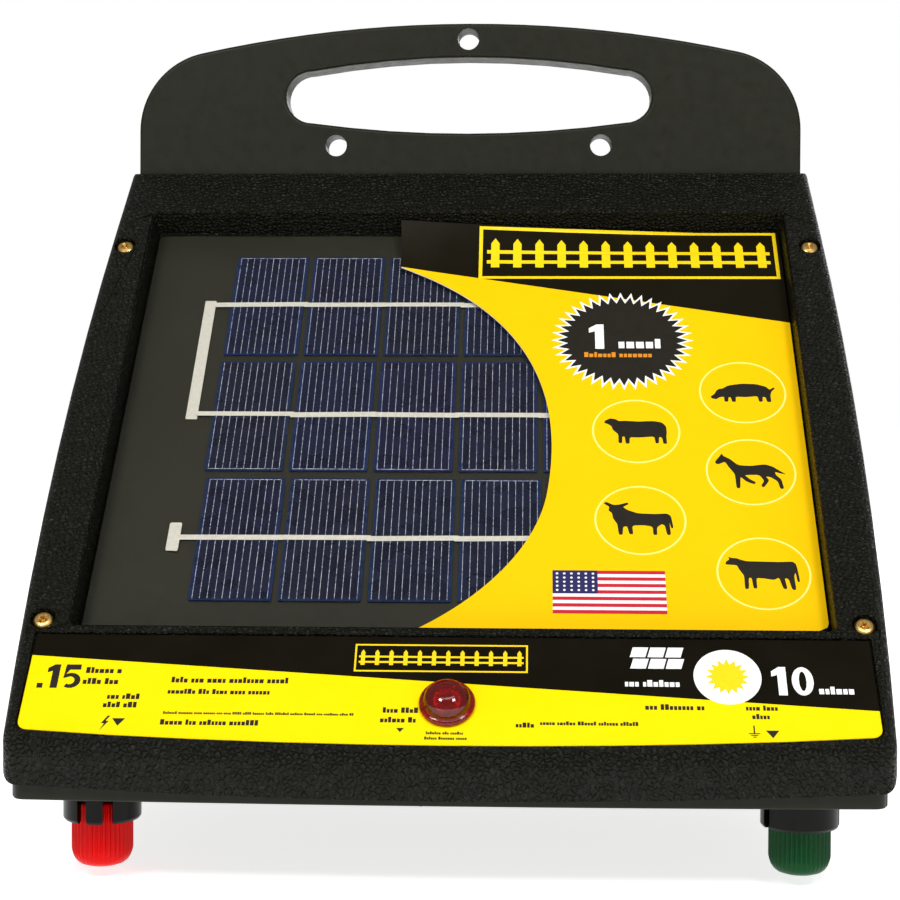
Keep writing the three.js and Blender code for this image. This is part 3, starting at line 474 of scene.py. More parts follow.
class Shape:
    """Vertices and faces gathered from several parts of one piece."""

    def __init__(self):
        self.vertices = []
        self.faces = []
        self.picks = []

    def add(self, vertices, faces, pick=0):
        first = len(self.vertices)
        self.vertices.extend(vertices)
        self.faces.extend([first + i for i in face] for face in faces)
        self.picks.extend([pick] * len(faces))

    def block(self, low, high, pick=0):
        xs, ys, zs = zip(low, high)
        corners = [(x, y, z) for z in zs for y in ys for x in xs]
        faces = [(0, 2, 3, 1), (4, 5, 7, 6), (0, 1, 5, 4), (2, 6, 7, 3), (0, 4, 6, 2), (1, 3, 7, 5)]
        self.add(corners, faces, pick)

    def prism(self, loops, z0, z1, lift=None, pick=0):
        """A flat plate from an outline and its holes. `lift` raises it where the sheet below is bent."""
        lift = lift or (lambda x, y: 0.0)
        points = [point for loop in loops for point in loop]
        count = len(points)
        low = [(x, y, z0 + lift(x, y)) for x, y in points]
        high = [(x, y, z1 + lift(x, y)) for x, y in points]
        faces = []
        for triangle in triangles(loops):
            faces.append([count + i for i in triangle])
            faces.append(triangle[::-1])
        start = 0
        for number, loop in enumerate(loops):
            size = len(loop)
            outside_on_right = (area_of(loop) > 0) == (number == 0)
            for i in range(size):
                a, b = start + i, start + (i + 1) % size
                wall = (a, b, count + b, count + a)
                faces.append(wall if outside_on_right else wall[::-1])
            start += size
        self.add(low + high, faces, pick)

    def revolve(self, rows, segments, centre=(0, 0), pick=0, radius_of=None):
        """A turned body about z from rows of (radius, z, ...). A row of radius 0 closes it at the axis.

        `radius_of` takes a row and a step round it, for a radius that varies.
        """
        rings = []
        for row in rows:
            radius, z = row[0], row[1]
            if radius == 0:
                rings.append([len(self.vertices)])
                self.vertices.append((centre[0], centre[1], z))
                continue
            ring = []
            for i in range(segments):
                angle = 2 * math.pi * i / segments
                r = radius_of(row, i) if radius_of else radius
                ring.append(len(self.vertices))
                x, y = centre[0] + r * math.cos(angle), centre[1] + r * math.sin(angle)
                self.vertices.append((x, y, z))
            rings.append(ring)
        for below, above in zip(rings, rings[1:]):
            for i in range(segments):
                j = (i + 1) % segments
                if len(below) == 1:
                    face = (below[0], above[j], above[i])
                elif len(above) == 1:
                    face = (below[i], below[j], above[0])
                else:
                    face = (below[i], below[j], above[j], above[i])
                self.faces.append(face)
                self.picks.append(pick)

    def moved(self, x=0.0, y=0.0, z=0.0):
        """The vertices, shifted."""
        return [(vx + x, vy + y, vz + z) for vx, vy, vz in self.vertices]

    def piece(self, name, materials, body, **options):
        return make_piece(name, self.vertices, self.faces, materials, body, picks=self.picks, **options)

    def lid_piece(self, name, slot, **options):
        """A piece on the lid, in the face's frame, with its slot's own material."""
        return self.piece(name, [SLOT_MATERIALS[slot]], "lid", place=FACE, slot=slot, **options)


def area_of(loop):
    """Signed area of a flat outline: positive when it turns anticlockwise."""
    pairs = zip(loop, loop[1:] + loop[:1])
    return sum(a[0] * b[1] - b[0] * a[1] for a, b in pairs) / 2


def oval(x, y, half_width, half_height, steps=40):
    turns = [2 * math.pi * i / steps for i in range(steps)]
    return [(x + half_width * math.cos(a), y + half_height * math.sin(a)) for a in turns]


def circle(x, y, radius, steps=48):
    return oval(x, y, radius, radius, steps)


def star(x, y, tip, valley, points):
    """A star with `points` rays, from the valleys' radius out to the tips' radius."""
    outline = []
    for i in range(2 * points):
        radius = tip if i % 2 == 0 else valley
        angle = math.pi * i / points + math.pi / 2
        outline.append((x + radius * math.cos(angle), y + radius * math.sin(angle)))
    return outline


def rectangle(x0, y0, x1, y1, longest=1000):
    """A rectangle whose edges are cut into stretches no longer than `longest`."""
    corners = [(x0, y0), (x1, y0), (x1, y1), (x0, y1)]
    outline = []
    for (ax, ay), (bx, by) in zip(corners, corners[1:] + corners[:1]):
        steps = max(1, math.ceil(math.dist((ax, ay), (bx, by)) / longest))
        outline.extend((ax + (bx - ax) * i / steps, ay + (by - ay) * i / steps) for i in range(steps))
    return outline


def softened(points, rounds=2, cut=0.22):
    """The closed outline with its corners cut, which rounds it."""
    for _ in range(rounds):
        smooth = []
        for a, b in zip(points, points[1:] + points[:1]):
            smooth.append((a[0] + (b[0] - a[0]) * cut, a[1] + (b[1] - a[1]) * cut))
            smooth.append((b[0] - (b[0] - a[0]) * cut, b[1] - (b[1] - a[1]) * cut))
        points = smooth
    return points


def turned(points, angle):
    """The outline, turned about its own origin."""
    cos, sin = math.cos(angle), math.sin(angle)
    return [(cos * x - sin * y, sin * x + cos * y) for x, y in points]


def placed(points, x, y, size=1.0):
    """The outline, scaled about its own origin and then moved to x, y."""
    return [(x + size * px, y + size * py) for px, py in points]


# ---------------------------------------------------------------- carried-over CAD nodes


WELD_DISTANCE = 0.002


def dress(mesh, node):
    """Gives a mesh its node's material, and drops the normals that it was packed with."""
    if "custom_normal" in mesh.attributes:
        mesh.attributes.remove(mesh.attributes["custom_normal"])
    mesh.materials.clear()
    mesh.materials.append(SLOT_MATERIALS[NODE_SLOTS[node]])
    mesh.polygons.foreach_set("use_smooth", [True] * len(mesh.polygons))


def keep_node(node):
    """Keeps a CAD node's shape, with its material and softened edges."""
    piece = NODES[node]
    dress(piece.data, node)
    weld(piece, WELD_DISTANCE)
    flatten = piece.modifiers.new("flatten", "DECIMATE")
    flatten.decimate_type = "DISSOLVE"
    flatten.angle_limit = math.radians(0.6)
    bevelled(piece, 0.25)


def clean_copy(node, name, body, cut_up=False):
    """A CAD node's mesh with its flat faces joined up again, as a new piece that stands for it.

    `cut_up` divides the many-sided faces, for a face whose holes confuse a bevel.
    """
    mesh = NODES[node].data.copy()
    mesh.name = name
    dress(mesh, node)
    shape = bmesh.new()
    shape.from_mesh(mesh)
    bmesh.ops.remove_doubles(shape, verts=shape.verts, dist=WELD_DISTANCE * MM)
    flat = math.radians(0.1)
    bmesh.ops.dissolve_limit(shape, angle_limit=flat, verts=shape.verts, edges=shape.edges)
    if cut_up:
        many_sided = [face for face in shape.faces if len(face.verts) > 4]
        bmesh.ops.triangulate(shape, faces=many_sided, ngon_method="BEAUTY")
    for face in shape.faces:
        face.smooth = True
    shape.to_mesh(mesh)
    shape.free()
    piece = bpy.data.objects.new(name, mesh)
    bpy.context.scene.collection.objects.link(piece)
    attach(piece, body)
    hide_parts(node)
    return piece


SHARP = math.radians(24)


def weigh_edges(piece, width_at, widest):
    """Rounds each sharp edge by the width that `width_at` gives for its middle, in millimetres."""
    shape = bmesh.new()
    shape.from_mesh(piece.data)
    weights = shape.edges.layers.float.new("bevel_weight_edge")
    for edge in shape.edges:
        if len(edge.link_faces) != 2 or edge.calc_face_angle(0) < SHARP:
            continue
        middle = (edge.verts[0].co + edge.verts[1].co) / 2 / MM
        edge[weights] = width_at(middle) / widest
    shape.to_mesh(piece.data)
    shape.free()
    bevel = piece.modifiers.new("edges", "BEVEL")
    bevel.width = widest * MM
    bevel.segments = 3
    bevel.limit_method = "WEIGHT"
    bevel.use_clamp_overlap = False
    bevel.harden_normals = True


HANGING_HOLES = ((0, 150.65), (-50, 110.75), (50, 110.75))
HOLE_RADIUS = 4.05
PLATE_THICKNESS = 14
NEAR = 0.2
EASED = 0.22


def case_edge(point):
    """The handle's edges are well rounded, the case's lower edges a little, the rest only eased."""
    if min(math.dist((point.x, point.z), hole) for hole in HANGING_HOLES) < HOLE_RADIUS + 0.95:
        return 0.35
    on_plate = point.z > FACE_TOP.z + 2
    if on_plate and abs(point.y + PLATE_THICKNESS) < NEAR:
        return 1.4
    if on_plate and abs(point.y) < NEAR:
        return 0.8
    outermost = abs(point.x) > 118 or point.y < -190 or point.y > -NEAR
    if abs(point.z - CASE_LOW.z) < NEAR and outermost:
        return 0.6
    return EASED


def build_case():
    piece = clean_copy("rear_case", "case_and_handle", "case")
    weigh_edges(piece, case_edge, widest=2.0)


def cover_edge(point):
    """Window and label edges are slightly rounded; small details are only eased."""
    local = FACE.inverted() @ (point * MM) / MM
    if abs(local.z) < NEAR and -220 < local.y < -20:
        return 0.8
    return EASED


def build_cover():
    piece = clean_copy("front_cover", "lid_cover", "lid", cut_up=True)
    weigh_edges(piece, cover_edge, widest=0.8)


# ---------------------------------------------------------------- solar cells

CELL_WIDTH, CELL_HEIGHT, CELL_THICKNESS = 26.0, 52.0, 0.4
CELL_CHAMFER = 0.35
CELL_PITCH, COLUMNS = 28.1, 6
STRING_REACH = CELL_PITCH * (COLUMNS - 1) / 2 + CELL_WIDTH / 2 + 3.5
FINGERS, FINGER_PITCH, FINGER_WIDTH = 11, 2.364, 0.17
FINGER_REACH = 25.2
PASTE_HEIGHT = 0.03
TINT_RANGES = ((0.72, 1.15), (0.74, 1.12), (0.82, 1.15))
RIBBON_WIDTH = 2.3
RIBBON_OVERLAP = 0.6


def cell_tints(count, seed):
    """One tint for each cell: factors for red, green and blue."""
    draw = random.Random(seed)
    return [(*[draw.uniform(*span) for span in TINT_RANGES], 1.0) for _ in range(count)]


def cell_outline():
    """A cell with its corners cut off, about its own middle."""
    x, y, cut = CELL_WIDTH / 2, CELL_HEIGHT / 2, CELL_CHAMFER
    return [(x - cut, -y), (x, cut - y), (x, y - cut), (x - cut, y),
            (cut - x, y), (-x, y - cut), (-x, cut - y), (cut - x, -y)]


def print_grid(lines, x, y, top, end):
    """Thin silver lines along one cell and one across its end: `end` is 1 for the upper end, or -1."""
    half = FINGER_WIDTH / 2
    for finger in range(FINGERS):
        fx = x + (finger - (FINGERS - 1) / 2) * FINGER_PITCH
        low, high = (fx - half, y - FINGER_REACH, top), (fx + half, y + FINGER_REACH, top + PASTE_HEIGHT)
        lines.block(low, high)
    end_y = y + end * FINGER_REACH
    reach = FINGER_PITCH * (FINGERS - 1) / 2
    lines.block((x - reach, end_y - 0.1, top), (x + reach, end_y + 0.1, top + PASTE_HEIGHT + 0.001))


def build_string(node, name, seed, grid_end):
    """One row of cells with its grid lines and its ribbon."""
    low, high = box_of(node, FACE)
    middle_x, middle_y = high.x - STRING_REACH, (low.y + high.y) / 2
    top = low.z + CELL_THICKNESS
    columns = [middle_x + (i - (COLUMNS - 1) / 2) * CELL_PITCH for i in range(COLUMNS)]
    cells, lines = Shape(), Shape()
    for x in columns:
        cells.prism([placed(cell_outline(), x, middle_y)], low.z, top)
        print_grid(lines, x, middle_y, top, grid_end)
    piece = cells.lid_piece(name, "solar_cell", replaces=[node])
    mark_cells(piece, columns, middle_y, cell_tints(COLUMNS, seed))
    lines.piece(name + "_grid_lines", [SILVER], "lid", place=FACE, slot="solar_cell")
    start = low.x + 3 if node == "cell_string_bottom" else box_of("bus_ribbon", FACE)[1].x - 0.8
    build_ribbon(name + "_ribbon", columns, middle_y, top, start, seed)


def mark_cells(piece, columns, middle_y, tints):
    """Stores each cell's tint, and for every corner its place within its cell."""
    mesh = piece.data
    colours = mesh.color_attributes.new("tint", "FLOAT_COLOR", "CORNER")
    places = mesh.uv_layers.new(name="cell")
    for loop in mesh.loops:
        point = mesh.vertices[loop.vertex_index].co / MM
        column = min(range(COLUMNS), key=lambda i: abs(columns[i] - point.x))
        colours.data[loop.index].color = tints[column]
        places.data[loop.index].uv = (point.x - columns[column], point.y - middle_y)


def build_ribbon(name, columns, y, top, start, seed):
    """Soldered ribbon: one stretch for each cell, with a small step and a solder lump at each gap."""
    draw = random.Random(seed)
    ribbon = Shape()
    for i, x in enumerate(columns):
        gap = x - CELL_PITCH / 2
        left = gap - RIBBON_OVERLAP if i else start
        right = x + CELL_PITCH / 2 + (RIBBON_OVERLAP if i < COLUMNS - 1 else 2)
        shift_left, shift_right = draw.uniform(-0.3, 0.3), draw.uniform(-0.3, 0.3)
        half = RIBBON_WIDTH / 2 * draw.uniform(0.86, 1.02)
        rise = 0.05 * (i % 2)
        corners = [(left, y + shift_left - half), (right, y + shift_right - half),
                   (right, y + shift_right + half), (left, y + shift_left + half)]
        ribbon.prism([corners], top + 0.04, top + 0.16 + rise)
        if i:
            ribbon.prism([circle(gap, y + shift_left, 0.95, 14)], top + 0.04, top + 0.24)
    bevelled(ribbon.lid_piece(name, "tinned_ribbon"), 0.05, 1)


def build_end_tab():
    """The wide cross tab at the left of the bottom string."""
    low, high = box_of("cell_string_bottom", FACE)
    y = (low.y + high.y) / 2
    corners = [(low.x, y - 5.8), (low.x + 4, y - 6), (low.x + 4.1, y + 6), (low.x + 0.1, y + 6)]
    tab = Shape()
    tab.prism([softened(corners, 1, 0.06)], high.z - 0.2, high.z)
    bevelled(tab.lid_piece("string_end_tab", "tinned_ribbon"), 0.05, 1)


# ---------------------------------------------------------------- printed card

CARD_LEFT, CARD_RIGHT = -24.0, 114.9
CARD_UPPER, CARD_LOWER = -25.0, -211.5
CARD_CORNER = 3
CARD_COLUMNS = 36
# The left edge: a nearly straight start, then two curves, each from its ends and handles.
EDGE_BEND = (-23.4, -45)
EDGE_BELLY = (29.5, -155)
EDGE_FOOT = (-10, CARD_LOWER)
CURL = {"rise": 5.6, "until_x": 88.0, "until_y": -48.0}
PRINT_SIDE, PAPER_SIDE = 0, 1


def card_lift(x, y):
    """How far the card has curled up: most at its upper left corner."""
    along = min(1.0, max(0.0, (CURL["until_x"] - x) / (CURL["until_x"] - CARD_LEFT)))
    down = min(1.0, max(0.0, (y - CURL["until_y"]) / (CARD_UPPER - CURL["until_y"])))
    return CURL["rise"] * along ** 1.5 * down ** 1.7


def bezier(points, steps):
    """A smooth curve from the first point to just before the last; the middle two are its handles."""
    made = []
    for i in range(steps):
        t = i / steps
        weights = ((1 - t) ** 3, 3 * t * (1 - t) ** 2, 3 * t * t * (1 - t), t ** 3)
        made.append(tuple(sum(w * p[k] for w, p in zip(weights, points)) for k in (0, 1)))
    return made


def card_rows():
    """Left end, right end and height of each row of the card, from top to bottom."""
    steps = 12
    left = [(CARD_LEFT + (EDGE_BEND[0] - CARD_LEFT) * i / steps,
             CARD_UPPER + (EDGE_BEND[1] - CARD_UPPER) * i / steps) for i in range(steps)]
    left += bezier([EDGE_BEND, (22, -68), (36, -108), EDGE_BELLY], 40)
    left += bezier([EDGE_BELLY, (26, -180), (8, -200), EDGE_FOOT], 26)
    left.append(EDGE_FOOT)
    rows = []
    for x, y in left:
        into_corner = max(0.0, CARD_LOWER + CARD_CORNER - y)
        inset = CARD_CORNER - math.sqrt(max(0.0, CARD_CORNER ** 2 - into_corner ** 2))
        rows.append((x, CARD_RIGHT - inset, y))
    return rows


def sheet_rim(rows, columns):
    """Vertex numbers round the border of a sheet that has `columns` + 1 vertices in each row."""
    width = columns + 1
    last = (rows - 1) * width
    top = list(range(columns))
    right = [row * width + columns for row in range(rows - 1)]
    bottom = [last + column for column in range(columns, 0, -1)]
    left = [row * width for row in range(rows - 1, 0, -1)]
    return top + right + bottom + left


def build_card():
    """A thin curled sheet: print on top, bare paper below and round its rim."""
    rows = card_rows()
    vertices = []
    for level in (CARD_LOW.z, CARD_TOP):
        for x0, x1, y in rows:
            for i in range(CARD_COLUMNS + 1):
                x = x0 + (x1 - x0) * (i / CARD_COLUMNS) ** 1.2
                vertices.append((x, y, level + card_lift(x, y)))
    width = CARD_COLUMNS + 1
    upper = width * len(rows)
    back, front, rim = [], [], []
    for row in range(len(rows) - 1):
        for column in range(CARD_COLUMNS):
            a = row * width + column
            back.append((a, a + 1, a + width + 1, a + width))
            front.append((upper + a, upper + a + width, upper + a + width + 1, upper + a + 1))
    border = sheet_rim(len(rows), CARD_COLUMNS)
    for a, b in zip(border, border[1:] + border[:1]):
        rim.append((b, a, upper + a, upper + b))
    picks = [PAPER_SIDE] * len(back) + [PRINT_SIDE] * len(front) + [PAPER_SIDE] * len(rim)
    materials = [SLOT_MATERIALS["printed_card"], paper()]
    piece = make_piece("display_card_sheet", vertices, back + front + rim, materials, "card", place=FACE,
                       slot="printed_card", replaces=["display_card"], picks=picks)
    shape = bmesh.new()
    shape.from_mesh(piece.data)
    bmesh.ops.recalc_face_normals(shape, faces=shape.faces)
    shape.to_mesh(piece.data)
    shape.free()


# Five farm animals, each walking to the left, as outlines in millimetres about their own middle.
ANIMALS = {
    "pig": [
        (-9.4, -2.7), (-9.8, -1.8), (-8.6, -0.9), (-7.9, 0.6), (-7.2, 1.4), (-5.9, 1.6), (-4.2, 2.9),
        (0, 3.7), (4.4, 3.5), (7.2, 2.4), (8.2, 1.1), (9.5, 2.1), (9.9, 1.7), (8.7, 0.3), (8.3, -1.4),
        (8.4, -4.1), (7.1, -4.1), (6.8, -2.1), (5.9, -1.9), (5.8, -4), (4.7, -4), (4.4, -1.6),
        (1, -2.1), (-2.2, -1.9), (-2.3, -4.1), (-3.4, -4.1), (-3.7, -2.1), (-4.4, -2.2), (-4.6, -4),
        (-5.7, -4), (-5.7, -1.9), (-7.2, -2.2), (-8, -3)],
    "sheep": [
        (-9.4, 3.3), (-9.2, 4.2), (-7.7, 5.2), (-6, 4.9), (-5.1, 4.1), (-3, 4.2), (1, 3.9), (5, 4.2),
        (7.8, 3.6), (9, 2), (9.1, -0.6), (8.9, -2.3), (9, -5.2), (7.9, -5.2), (7.6, -2.7), (6.7, -2.4),
        (6.6, -5), (5.6, -5), (5.3, -2.2), (1, -2.7), (-2, -2.6), (-2.1, -5.2), (-3.2, -5.2),
        (-3.5, -2.3), (-4.2, -2.3), (-4.3, -5), (-5.4, -5), (-5.3, -1.4), (-6.9, 0.4), (-7.3, 2),
        (-8.2, 2.8)],
    "horse": [
        (-10, 3.2), (-10.2, 4), (-8.7, 6.2), (-8, 7.3), (-7.7, 6.3), (-5.7, 5), (-3.6, 2.6), (0, 2.3),
        (4.4, 3), (6.6, 2), (8.6, 0.2), (10.2, -1), (8.2, -0.5), (6.9, 0), (7.2, -1.3), (8.6, -3),
        (9.1, -6.6), (8, -6.7), (7.5, -3.7), (5.4, -2), (4.2, -1.9), (5.1, -3.4), (3.3, -6.2),
        (2.5, -5.6), (3.6, -3.5), (2.3, -1.2), (-2, -1.3), (-0.6, -2.9), (1.2, -4.2), (0.6, -5),
        (-1.7, -3.8), (-3.2, -1.9), (-3.5, -6.5), (-4.6, -6.5), (-4.7, -1), (-6.2, 1.6), (-7.3, 4),
        (-9.3, 2.9)],
    "bull": [
        (-9, 3.6), (-8.7, 5), (-10.4, 6.3), (-9.6, 6.9), (-7.6, 5.7), (-5.6, 5.9), (-3.6, 6.7),
        (-3.1, 6.1), (-4.9, 4.9), (-3.4, 3.7), (-0.6, 2.5), (4, 2.3), (7.7, 2.5), (8.8, 1.6),
        (9.3, -3), (8.7, -3.1), (8.2, -0.6), (8.5, -5.6), (7.4, -5.6), (6.9, -2), (6, -1.5),
        (4.6, -2.8), (4.6, -5.6), (3.5, -5.6), (3.4, -2.5), (1, -2), (-2.4, -2.1), (-2.2, -5.4),
        (-3.3, -5.4), (-3.8, -2.4), (-5, -2.6), (-5.2, -5.6), (-6.3, -5.6), (-6.6, -1.6), (-7.8, 0.6),
        (-8, 2.6)],
    "cow": [
        (-10.4, 3.1), (-10.3, 4), (-9.2, 5), (-9.5, 5.9), (-8.7, 5.5), (-7.2, 5.4), (-6.3, 4.9),
        (-4.4, 4.3), (0, 4.2), (5, 4.1), (8.3, 4.3), (9.3, 3.3), (9.8, -3), (9.1, -3.1), (8.8, 0.4),
        (8.3, -1), (8.5, -5.9), (7.4, -5.9), (6.7, -2), (5.6, -1.7), (6.1, -5.6), (5, -5.6),
        (4.1, -1.5), (2.6, -2.4), (0, -1.9), (-2.2, -1.7), (-2.2, -5.5), (-3.2, -5.5), (-3.5, -1.7),
        (-4.3, -1.7), (-4.5, -5.7), (-5.6, -5.7), (-5.5, -0.9), (-6.6, 1), (-7.3, 2.9), (-8.9, 3)],
}
ANIMAL_PLACES = {
    "pig": (95.9, -109),
    "sheep": (59.2, -127.5),
    "horse": (96, -145.8),
    "bull": (59.2, -167.1),
    "cow": (96.8, -188.9),
}
ANIMAL_SIZE = 1.12
RING_OUTSIDE, RING_INSIDE = 14.7, 14.1
PRINT_HEIGHT = 0.05


def card_print(shape, name, colour):
    shape.piece("card_" + name, [INK[colour]], "card", place=FACE, slot="printed_card")


def label_print(shape, name, colour):
    shape.piece("label_" + name, [INK[colour]], "lid", place=FACE, slot="printed_label")


def coat(shape, loops, base, below=0, layers=1):
    """A patch of print: `layers` coats thick, on top of `below` coats."""
    shape.prism(loops, base + below * PRINT_HEIGHT, base + (below + layers) * PRINT_HEIGHT)


def fence_badge(shape, x0, y0, x1, y1, line, posts, lift=None, base=0.0):
    """A plain frame round a little picket fence."""
    longest = 6
    top = base + PRINT_HEIGHT
    outer = rectangle(x0, y0, x1, y1, longest)
    inner = rectangle(x0 + line, y0 + line, x1 - line, y1 - line, longest)
    shape.prism([outer, inner], base, top, lift)
    height = y1 - y0
    foot, head = y0 + 0.24 * height, y0 + 0.7 * height
    first, last = x0 + 3.4 * line, x1 - 3.4 * line
    half = 0.06 * height
    picket = [(-half, foot), (half, foot), (half, head), (0, head + 1.6 * half), (-half, head)]
    for i in range(posts):
        x = first + half + (last - first - 2 * half) * i / (posts - 1)
        shape.prism([placed(picket, x, 0)], base, top, lift)
    for share in (0.24, 0.66):
        y = foot + (head - foot) * share
        rail = rectangle(first - half, y - half * 0.55, last + half, y + half * 0.55, longest)
        shape.prism([rail], base, top - 0.01, lift)


def word_blocks(shape, x, y, length, height, seed, base):
    """Rows of blank blocks where a line of small print would stand."""
    draw = random.Random(seed)
    end = x + length
    while x < end - height:
        letters = draw.randint(3, 8)
        for _ in range(letters):
            wide = height * draw.uniform(0.34, 0.56)
            if x + wide > end:
                break
            tall = height * draw.choice((0.62, 0.62, 0.62, 0.9))
            foot = y - height * 0.36
            coat(shape, [rectangle(x, foot, x + wide, foot + tall)], base)
            x += wide + height * 0.13
        x += height * 0.36


def figure(mark, x, y, height, shape, base):
    """Prints one plain figure with its lower left corner at x, y. Returns where the next one starts."""
    stroke = 0.25 * height
    if mark == ".":
        coat(shape, [rectangle(x, y, x + 0.8 * stroke, y + 0.8 * stroke)], base)
        return x + 1.15 * stroke
    if mark == "1":
        width = 0.42 * height
        outline = [(width - stroke, 0), (width, 0), (width, height), (width - 0.8 * stroke, height),
                   (0, 0.84 * height), (0, 0.66 * height), (width - stroke, 0.72 * height)]
        coat(shape, [placed(outline, x, y)], base)
        return x + width + 0.6 * stroke
    width = 0.62 * height
    if mark == "0":
        centre = (x + width / 2, y + height / 2)
        outer = oval(*centre, width / 2, height / 2)
        inner = oval(*centre, width / 2 - 0.82 * stroke, height / 2 - 0.62 * stroke)
        coat(shape, [outer, inner], base)
    if mark == "5":
        bowl = 0.32 * height
        turns = [math.radians(a) for a in range(-125, 126, 10)]
        outside = [(0.45 * width + 0.55 * width * math.cos(a), bowl + bowl * math.sin(a))
                   for a in turns]
        inside = [(0.4 * width + 0.27 * width * math.cos(a), bowl + 0.52 * bowl * math.sin(a))
                  for a in turns]
        flag = [(0.32 * width, 0.78 * height), (0.92 * width, 0.78 * height), (0.92 * width, height),
                (0.08 * width, height), (0.02 * width, 0.42 * height)]
        coat(shape, [placed(outside + flag + inside[::-1], x, y)], base)
    return x + width + 0.5 * stroke


def number(text, x, y, height, shape, base):
    """Prints a row of figures."""
    for mark in text:
        x = figure(mark, x, y, height, shape, base)


BURST = (55.9, -83.5)
BURST_RAYS = 40
STRIPES = 13
STAR_ROWS, STAR_COLUMNS = 5, 6


def print_burst():
    """A round badge with a toothed rim, a figure and blank words."""
    rim, heart, words, small = Shape(), Shape(), Shape(), Shape()
    coat(rim, [star(*BURST, 24.8, 20.3, BURST_RAYS)], CARD_TOP)
    card_print(rim, "burst_rim", "white")
    coat(heart, [star(*BURST, 22.6, 19.0, BURST_RAYS)], CARD_TOP, layers=2)
    card_print(heart, "burst", "black")
    over = CARD_TOP + 2 * PRINT_HEIGHT
    x, y = BURST
    number("1", x - 11.6, y - 4.4, 12.4, words, over)
    word_blocks(words, x - 1.4, y - 2.2, 14.6, 5.2, 5, over)
    card_print(words, "burst_words", "white")
    word_blocks(small, x - 13.4, y - 7.6, 27, 2.7, 6, over)
    card_print(small, "burst_small_words", "orange")


def print_animals():
    """Each animal inside a ring of its own."""
    rings, animals = Shape(), Shape()
    for animal, (x, y) in ANIMAL_PLACES.items():
        coat(rings, [circle(x, y, RING_OUTSIDE, 64), circle(x, y, RING_INSIDE, 64)], CARD_TOP)
        outline = softened(ANIMALS[animal], 2, 0.15)
        coat(animals, [placed(outline, x, y, ANIMAL_SIZE)], CARD_TOP)
    card_print(rings, "rings", "pale")
    card_print(animals, "animals", "black")


def print_striped_block():
    """A small striped rectangle with a dotted corner."""
    left, low, right, high = 31.0, -205.5, 66.1, -188.4
    step = (high - low) / STRIPES
    white, red, blue = Shape(), Shape(), Shape()
    coat(white, [rectangle(left, low, right, high)], CARD_TOP)
    for i in range(0, STRIPES, 2):
        coat(red, [rectangle(left, low + i * step, right, low + (i + 1) * step)], CARD_TOP, layers=2)
    coat(blue, [rectangle(left, high - 7 * step, left + 14, high)], CARD_TOP, layers=3)
    for row in range(STAR_ROWS):
        for column in range(STAR_COLUMNS):
            x, y = left + 1.4 + column * 2.24, high - 1.3 - row * 1.66
            coat(white, [circle(x, y, 0.42, 8)], CARD_TOP, below=3)
    card_print(white, "striped_block_white", "white")
    card_print(red, "striped_block_red", "red")
    card_print(blue, "striped_block_blue", "blue")


def build_card_print():
    badge = Shape()
    fence_badge(badge, 4.9, -51.2, 113.7, -25.9, 1.3, 13, card_lift, CARD_TOP)
    card_print(badge, "fence_badge", "yellow")
    print_burst()
    print_animals()
    print_striped_block()


# ---------------------------------------------------------------- label print


SUN = (81.8, -235.4)
# Lines of small print: left end, height on the face, length and letter height.
SMALL_PRINT = (
    (-107.5, -235.2, 12, 2.4), (-107.9, -239.2, 11, 2.4), (-99.8, -244.6, 9.6, 2.2),
    (-100.6, -247.6, 10.8, 2.2), (-81.6, -238.4, 35, 2.3), (-82.2, -242.6, 32, 2.0),
    (-82.6, -250.2, 56, 1.0), (-83, -253.6, 30, 2.1), (-18.6, -248.6, 10.6, 2.1),
    (-19.2, -252.0, 10.8, 2.1), (-5.8, -256.4, 11.6, 1.1), (-6.2, -258.2, 12.4, 1.1),
    (20, -253.4, 5.8, 1.9), (27, -252.6, 29, 1.5), (57.4, -246.6, 17.4, 2.2),
    (86.4, -246.6, 11.2, 2.0), (88, -249.6, 7.8, 2.0),
)
# Small marks over the terminals and the indicator: x, y, half width and height of each arrow.
ARROWS = ((-95.3, -253.6, 1.9, 2.6), (-13.3, -255.4, 1.1, 1.4), (93.4, -255.6, 1.9, 2.6))
BOLT = ((-98.6, -251.4), (-100.2, -254), (-99.3, -254.1), (-100.4, -256.6), (-98.1, -253.3),
        (-99, -253.2), (-97.9, -251.4))
EARTH_X = 88.2
EARTH_BARS = ((1.6, -255.4), (1.0, -256.0), (0.45, -256.6))


def down_arrow(x, y, half, height):
    return [(x - half, y + height / 2), (x, y - height / 2), (x + half, y + height / 2)]


def print_yellow_marks():
    yellow = Shape()
    fence_badge(yellow, -28, -234.6, 23.4, -224.4, 0.55, 12, None, LABEL_TOP)
    coat(yellow, [star(*SUN, 6.4, 4.5, 16)], LABEL_TOP, below=2)
    label_print(yellow, "badge_and_sun", "yellow")


def print_white_marks():
    """The sun's disk, two rows of slanting tiles, and a figure beside blank words."""
    white = Shape()
    coat(white, [circle(*SUN, 9.9, 64)], LABEL_TOP, layers=2)
    tile = [(0, 0), (4.6, 0), (5.6, 3.6), (1, 3.6)]
    for row in range(2):
        for column in range(3):
            coat(white, [placed(tile, 53.5 + column * 5.2, -232.6 + row * 4.2)], LABEL_TOP)
    word_blocks(white, 51.8, -238.2, 18.6, 2.6, 2, LABEL_TOP)
    word_blocks(white, 108, -240.2, 13.2, 3.0, 9, LABEL_TOP)
    number("10", 94.6, -241.8, 10.2, white, LABEL_TOP)
    label_print(white, "sun_disk_and_marks", "white")


